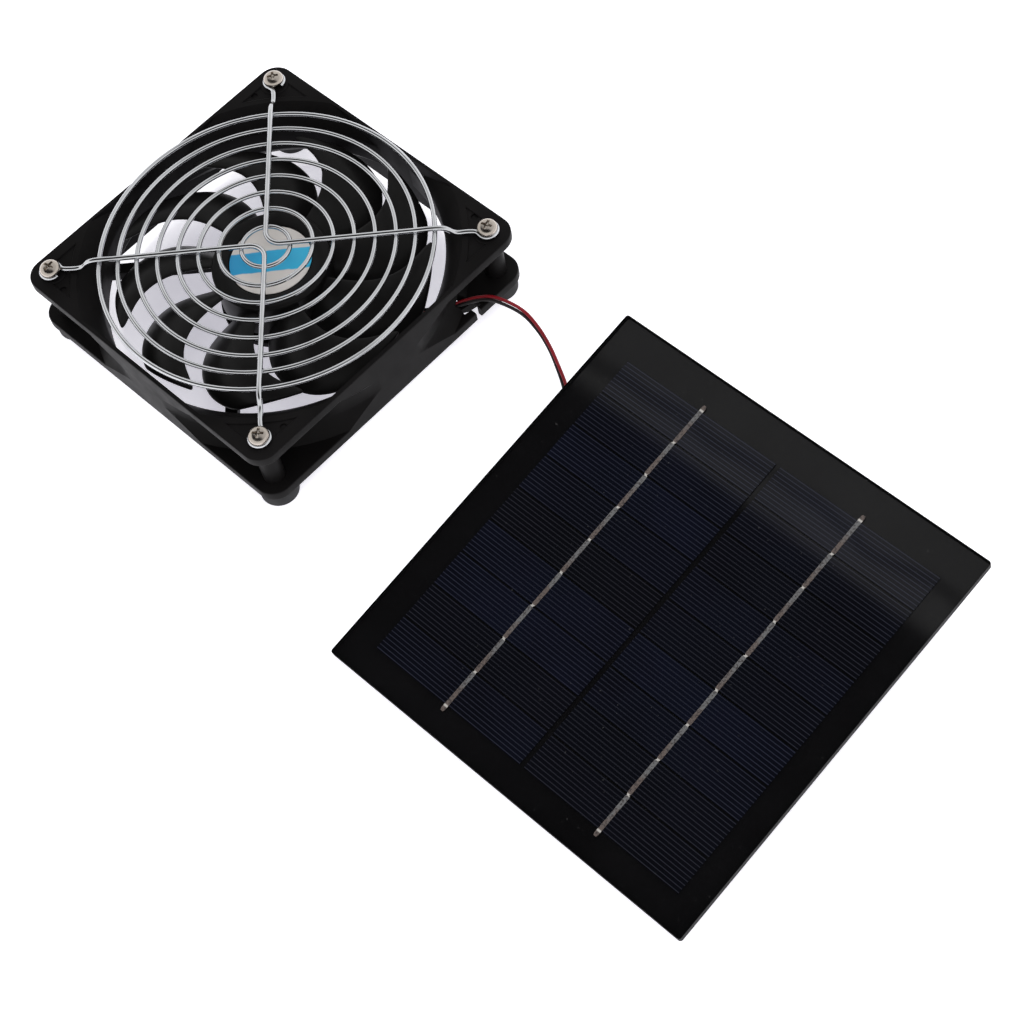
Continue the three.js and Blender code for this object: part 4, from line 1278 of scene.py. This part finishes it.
def pan_head_screw(name):
    """A pan-head screw with a cross recess, standing on Z = 0 under its head."""
    head, height = SCREW["head"], SCREW["height"]
    crown = []
    for i in range(11):
        angle = i / 10 * SCREW["crown_angle"] * DEG
        radius = head * (1 - SCREW["crown_share"] * (1 - math.cos(angle)))
        crown.append((radius, height * math.sin(angle)))
    profile = [
        (0, -SCREW["length"]),
        (SCREW["point"], -SCREW["length"]),
        (SCREW["shank"], -SCREW["length"] + SCREW["point_length"]),
        (SCREW["shank"], 0),
        (head - 0.15, 0),
        (head, 0.12),
        *crown[1:],
        (0, height),
    ]
    screw = lathe(name, profile, 48)
    cutters = []
    for quarter in (0, 90):
        level = height + 1 - SCREW["depth"]
        arm = bevelled_box("arm", (SCREW["cross"], SCREW["slot"], 2.0), (0, 0, level), 0.12, 2)
        cutters.append(place(arm, 0, 0, 0, quarter * DEG))
    pit = [(0, height - 1.5), (0.5, height - 1.3), (1.05, height + 0.3), (0, height + 0.3)]
    cutters.append(lathe("pit", pit, 16))
    cut(screw, cutters)
    tidy_normals(screw)
    return screw


SCREW_TURNS = (20, 52, 10, 38)  # how far each screw is turned, degrees


def make_fasteners():
    pattern = pan_head_screw("screw_pattern")
    top = TOP_Z + (GUARD["eye_height"] + GUARD["spoke_wire"] + SCREW["gap"]) * MM
    bottom = (FOOT["seat"] - SCREW["gap"]) * MM
    for number, ((x, y), degrees) in enumerate(zip(at_corners(), SCREW_TURNS), 1):
        turn = degrees * DEG
        for kind, seat, flip, turned in (("guard", top, 0, turn), ("foot", bottom, math.pi, 2 * turn)):
            screw = new_piece(f"{kind}_screw_top_{number}", pattern.data.copy())
            screw.data.transform(Matrix.Rotation(flip, 4, "X"))
            place(screw, FAN_X + x * MM, FAN_Y + y * MM, seat, turned)
            dress(screw, LOOKS["screw_nickel"], BODY, f"{kind}_screw_{number}", slot="screw_nickel")
    bpy.data.objects.remove(pattern)


make_fasteners()


def foot_profile():
    """A foot: a bore under the flange, a wider well for the screw's head and soft outer edges."""
    top = FOOT["height"] - FOOT["flange_gap"]
    outer, bore, well, soft = FOOT["radius"], FOOT["bore"], FOOT["well"], FOOT["soft"]
    return [
        (bore, FOOT["seat"]),
        (well, FOOT["seat"]),
        (well, 0.2),
        (well + 0.2, 0),
        (outer - soft, 0),
        *arc(outer - soft, soft, soft, -80, 0, 6),
        *arc(outer - 0.6, top - 0.6, 0.6, 0, 90, 6),
        (bore, top),
    ]


def make_feet():
    for number, (x, y) in enumerate(at_corners(), 1):
        foot = lathe(f"foot_moulding_{number}", foot_profile(), 64, closed=True)
        place(foot, FAN_X + x * MM, FAN_Y + y * MM)
        dress(foot, LOOKS["foot_rubber"], BODY, f"foot_{number}", slot="foot_rubber")


make_feet()

# ---------------------------------------------------------------- panel


def plate(name, low, high, edge):
    """The panel's square plate with small round corners and softened edges, in its own frame."""
    half = PANEL["side"] / 2
    piece = stacked(name, rounded_square(half, PANEL["corner"], 4), softened(low, high, edge))
    piece.data.transform(Matrix.Translation((0, half * MM, 0)))
    return piece


FLAT = 0.95  # a face whose normal has this much Z belongs to a plate's top or underside


def make_panel():
    """The black board, and the film over it, clear on its face and black round its edge."""
    sheets = {
        "panel_board": (0, PANEL["board"], PANEL["board_edge"]),
        "panel_film": (PANEL["board"] + PANEL["film_gap"], PANEL["total"], PANEL["film_edge"]),
    }
    for name, sizes in sheets.items():
        sheet = plate(f"{name}_plate", *sizes)
        sheet.data.materials.append(LOOKS[name])
        sheet.data.materials.append(LOOKS["panel_edge"])
        for face in sheet.data.polygons:
            face.material_index = 0 if abs(face.normal.z) > FLAT else 1
        dress(to_panel(harden(sheet)), None, BODY, name, slot=name)


make_panel()


def cell_centre(column, row):
    x = CELL_MIDDLE[0] + (column - 0.5) * CELL["pitch_x"]
    y = PANEL["side"] / 2 + CELL_MIDDLE[1] + (row - (CELL["rows"] - 1) / 2) * CELL["pitch_y"]
    return x, y


def ribbon_strip(name, x, low, high, level):
    """One cell's length of ribbon: a thin strip with a slightly domed face and pinched ends."""
    wide = RIBBON["width"] / 2
    narrow = RIBBON["neck"] / 2
    taper = RIBBON["taper"]
    stations = [
        (low, narrow),
        (low + taper, wide),
        ((low + high) / 2, wide * 0.94),
        (high - taper, wide),
        (high, narrow),
    ]
    across = (-1, -0.8, 0, 0.8, 1)
    dome = (0, 0.7, 1, 0.7, 0)
    points = []
    for y, half in stations:
        for share, rise in zip(across, dome):
            points.append(((x + share * half) * MM, y * MM, (level + rise * RIBBON["thick"]) * MM))
        points.append(((x + half) * MM, y * MM, level * MM - 0.00002))
        points.append(((x - half) * MM, y * MM, level * MM - 0.00002))
    count = len(across) + 2
    faces = []
    for i in range(len(stations) - 1):
        for k in range(count):
            j = (k + 1) % count
            a, b = i * count, (i + 1) * count
            faces.append([a + k, a + j, b + j, b + k])
    faces.append([k for k in range(count)][::-1])
    faces.append([(len(stations) - 1) * count + k for k in range(count)])
    return mesh_object(name, points, faces)


BEAD_PROFILE = [(0, 0), (0.42, 0), (0.36, 0.1), (0.18, 0.17), (0, 0.19)]
BEAD_SCALE = Matrix.Diagonal((1, 0.7, 0.7, 1))  # the bead is narrower along the ribbon, and lower


def make_ribbons():
    """Each column's ribbon dips from one cell to the next, so it is a row of strips and beads."""
    level = PANEL["board"] + RIBBON["rise"]
    for column, side in ((0, "left"), (1, "right")):
        parts = []
        for row in range(CELL["rows"]):
            x, y = cell_centre(column, row)
            sway = RIBBON["sway"] * math.sin(2.4 * row + 1.7 * column)
            low = y - CELL["pitch_y"] / 2 - (RIBBON["overrun"] if row == 0 else -0.05)
            high = y + CELL["pitch_y"] / 2 + (RIBBON["overrun"] if row == CELL["rows"] - 1 else -0.05)
            parts.append(ribbon_strip(f"strip_{side}_{row}", x + sway, low, high, level))
            if row:
                bead = lathe(f"bead_{side}_{row}", BEAD_PROFILE, 16)
                bead.data.transform(BEAD_SCALE)
                joint = y - CELL["pitch_y"] / 2
                parts.append(place(bead, (x + sway / 2) * MM, joint * MM, level * MM))
        whole = join(f"ribbon_strips_{side}", parts)
        dress(to_panel(whole), LOOKS["ribbon"], BODY, f"ribbon_{side}", slot="ribbon")


make_ribbons()


def through_wall(piece):
    """Lays an upright turned mesh along X, on the line on which the lead enters the box."""
    piece.data.transform(Matrix.Rotation(math.pi / 2, 4, "Y"))
    return place(piece, 0, GLAND["y"] * MM, GLAND["z"] * MM)


def make_box():
    """The junction box under the panel's upper half: a rounded tray and its lid."""
    wide, deep, tall = BOX["width"], BOX["depth"], BOX["height"]
    middle = BOX["start"] + deep / 2
    low = -tall + BOX["lid"] + BOX["gap"]
    high = -BOX["gap"]
    tray = bevelled_box("box_tray", (wide, deep, high - low), (0, middle, (low + high) / 2), 1.0, 4)
    wall = BOX["wall"]
    hollow = (wide - 2 * wall, deep - 2 * wall, high - low)
    inside = bevelled_box("box_inside", hollow, (0, middle, (low + high) / 2 - wall), 0.6, 2)
    bore = round_bar("box_bore", GLAND["radius"] + 0.2, -wide / 2 - 2, -wide / 2 + 6)
    cut(tray, [inside, through_wall(bore)])
    dress(to_panel(harden(tray)), LOOKS["box_plastic"], BODY, "box_base", slot="box_plastic")
    lid_level = -tall + BOX["lid"] / 2
    lid = bevelled_box("box_cover", (wide, deep, BOX["lid"]), (0, middle, lid_level), 0.5, 3)
    dress(to_panel(harden(lid)), LOOKS["box_plastic"], BODY, "box_lid", slot="box_plastic")


make_box()


def make_gland():
    face = -BOX["width"] / 2
    wall = BOX["wall"]
    inner, outer, throat = GLAND["hole"], GLAND["flange"], GLAND["radius"]
    profile = [
        (inner, face - 1.4),
        *arc(outer - 0.5, face - 0.9, 0.5, -90, 0, 5),
        (outer, face - 0.2),
        (throat, face - 0.2),
        (throat, face + wall + 0.2),
        (outer, face + wall + 0.2),
        *arc(outer - 0.5, face + wall + 0.9, 0.5, 0, 90, 5),
        (inner, face + wall + 1.4),
    ]
    ring = lathe("lead_gland_ring", profile, 48, closed=True)
    dress(to_panel(through_wall(ring)), LOOKS["gland_rubber"], BODY, "lead_gland", slot="gland_rubber")


make_gland()

# ---------------------------------------------------------------- stage and light

FLOOR_GLOW = (0.62, 0.61, 0.66)
PAINTED_SHADOW_GLOW = (0.47, 0.46, 0.515)  # painted shadow: the floor's glow, dimmer in a disc under the fan
PAINTED_SHADOW_MIDDLE = (-2.5, 2.6)  # from the fan's axis, mm
PAINTED_SHADOW_RADIUS = 59.5
PAINTED_SHADOW_BLUR = 1.5
FLOOR_HALF = 3.0  # half the floor's width, metres


def make_stage():
    half = FLOOR_HALF
    floor = mesh_object(
        "floor",
        [(-half, -half, 0), (half, -half, 0), (half, half, 0), (-half, half, 0)],
        [[0, 1, 2, 3]],
        smooth=False,
    )
    s = Shader("floor_paper_painted_shadow", (0.9, 0.9, 0.9), 0.9, Specular_IOR_Level=0.0, Emission_Strength=1.0)
    shade_x, shade_y = PAINTED_SHADOW_MIDDLE
    length = s.add("ShaderNodeVectorMath", operation="LENGTH")
    s.link(s.counted_from((FAN_X + shade_x * MM, FAN_Y + shade_y * MM, 0)), length.inputs[0])
    # Inside the disc the floor's glow is a painted shadow under the fan; outside it the floor glows
    # evenly.
    outside = s.ramp(length.outputs["Value"], (PAINTED_SHADOW_RADIUS - PAINTED_SHADOW_BLUR) * MM, PAINTED_SHADOW_RADIUS * MM)
    s.set("Emission Color", s.mix(outside, PAINTED_SHADOW_GLOW, FLOOR_GLOW))
    floor.data.materials.append(s.material)


make_stage()


def area_light(name, place_at, aim, size, power):
    data = bpy.data.lights.new(name, "AREA")
    data.shape = "RECTANGLE"
    data.size, data.size_y = size
    data.energy = power
    light = bpy.data.objects.new(name, data)
    light.location = place_at
    light.rotation_euler = (Vector(aim) - Vector(place_at)).to_track_quat("-Z", "Y").to_euler()
    light.visible_glossy = False
    bpy.context.scene.collection.objects.link(light)


# The studio's ceiling: a wide diffuser whose near edge runs along X just behind the zenith, dark
# overhead and towards the viewer, and white walls lower down.
CEILING_EDGE = 0.08
FOLD = 0.016  # a darker fold in the diffuser, this far behind its edge
FOLD_WANDER = 0.006
WALL_START = 0.74
WALL_BLUR = 0.12


def make_world():
    world = bpy.data.worlds.new("studio")
    bpy.context.scene.world = world
    world.use_nodes = True
    background = world.node_tree.nodes["Background"]
    w = Nodes(world.node_tree, "Generated")

    def soft_step(value, low, high, start, end):
        return w.ramp(value, low, high, start, end, "SMOOTHSTEP")

    axes = w.axes(w.place)
    behind = w.math("SUBTRACT", axes["Y"], w.math("MULTIPLY", axes["Z"], CEILING_EDGE))
    wander = soft_step(w.noise(14.0, 2.0), 0.3, 0.7, FOLD - FOLD_WANDER, FOLD + FOLD_WANDER)
    from_fold = w.math("ABSOLUTE", w.math("SUBTRACT", behind, wander))
    fold = soft_step(from_fold, 0.001, 0.006, 0.45, 1.0)
    edge = w.math("MULTIPLY", soft_step(behind, -0.004, 0.005, 0.02, 0.45), fold)
    deeper = soft_step(behind, 0.02, 0.3, 0.0, 0.3)
    walls = soft_step(axes["Z"], WALL_START - WALL_BLUR, WALL_START, 1.0, 0.0)
    bright = w.math("MAXIMUM", w.math("ADD", edge, deeper), walls)
    w.link(bright, background.inputs["Strength"])
    background.inputs["Color"].default_value = (1, 1, 1, 1)


make_world()
area_light("overhead", (0.1, 0.0, 1.6), (0, 0, 0), (1.8, 1.8), 14.0)
area_light("front", (0.5, -1.2, 1.0), (0, 0, 0), (1.0, 0.6), 3.0)
bpy.context.scene.view_settings.view_transform = "Standard"
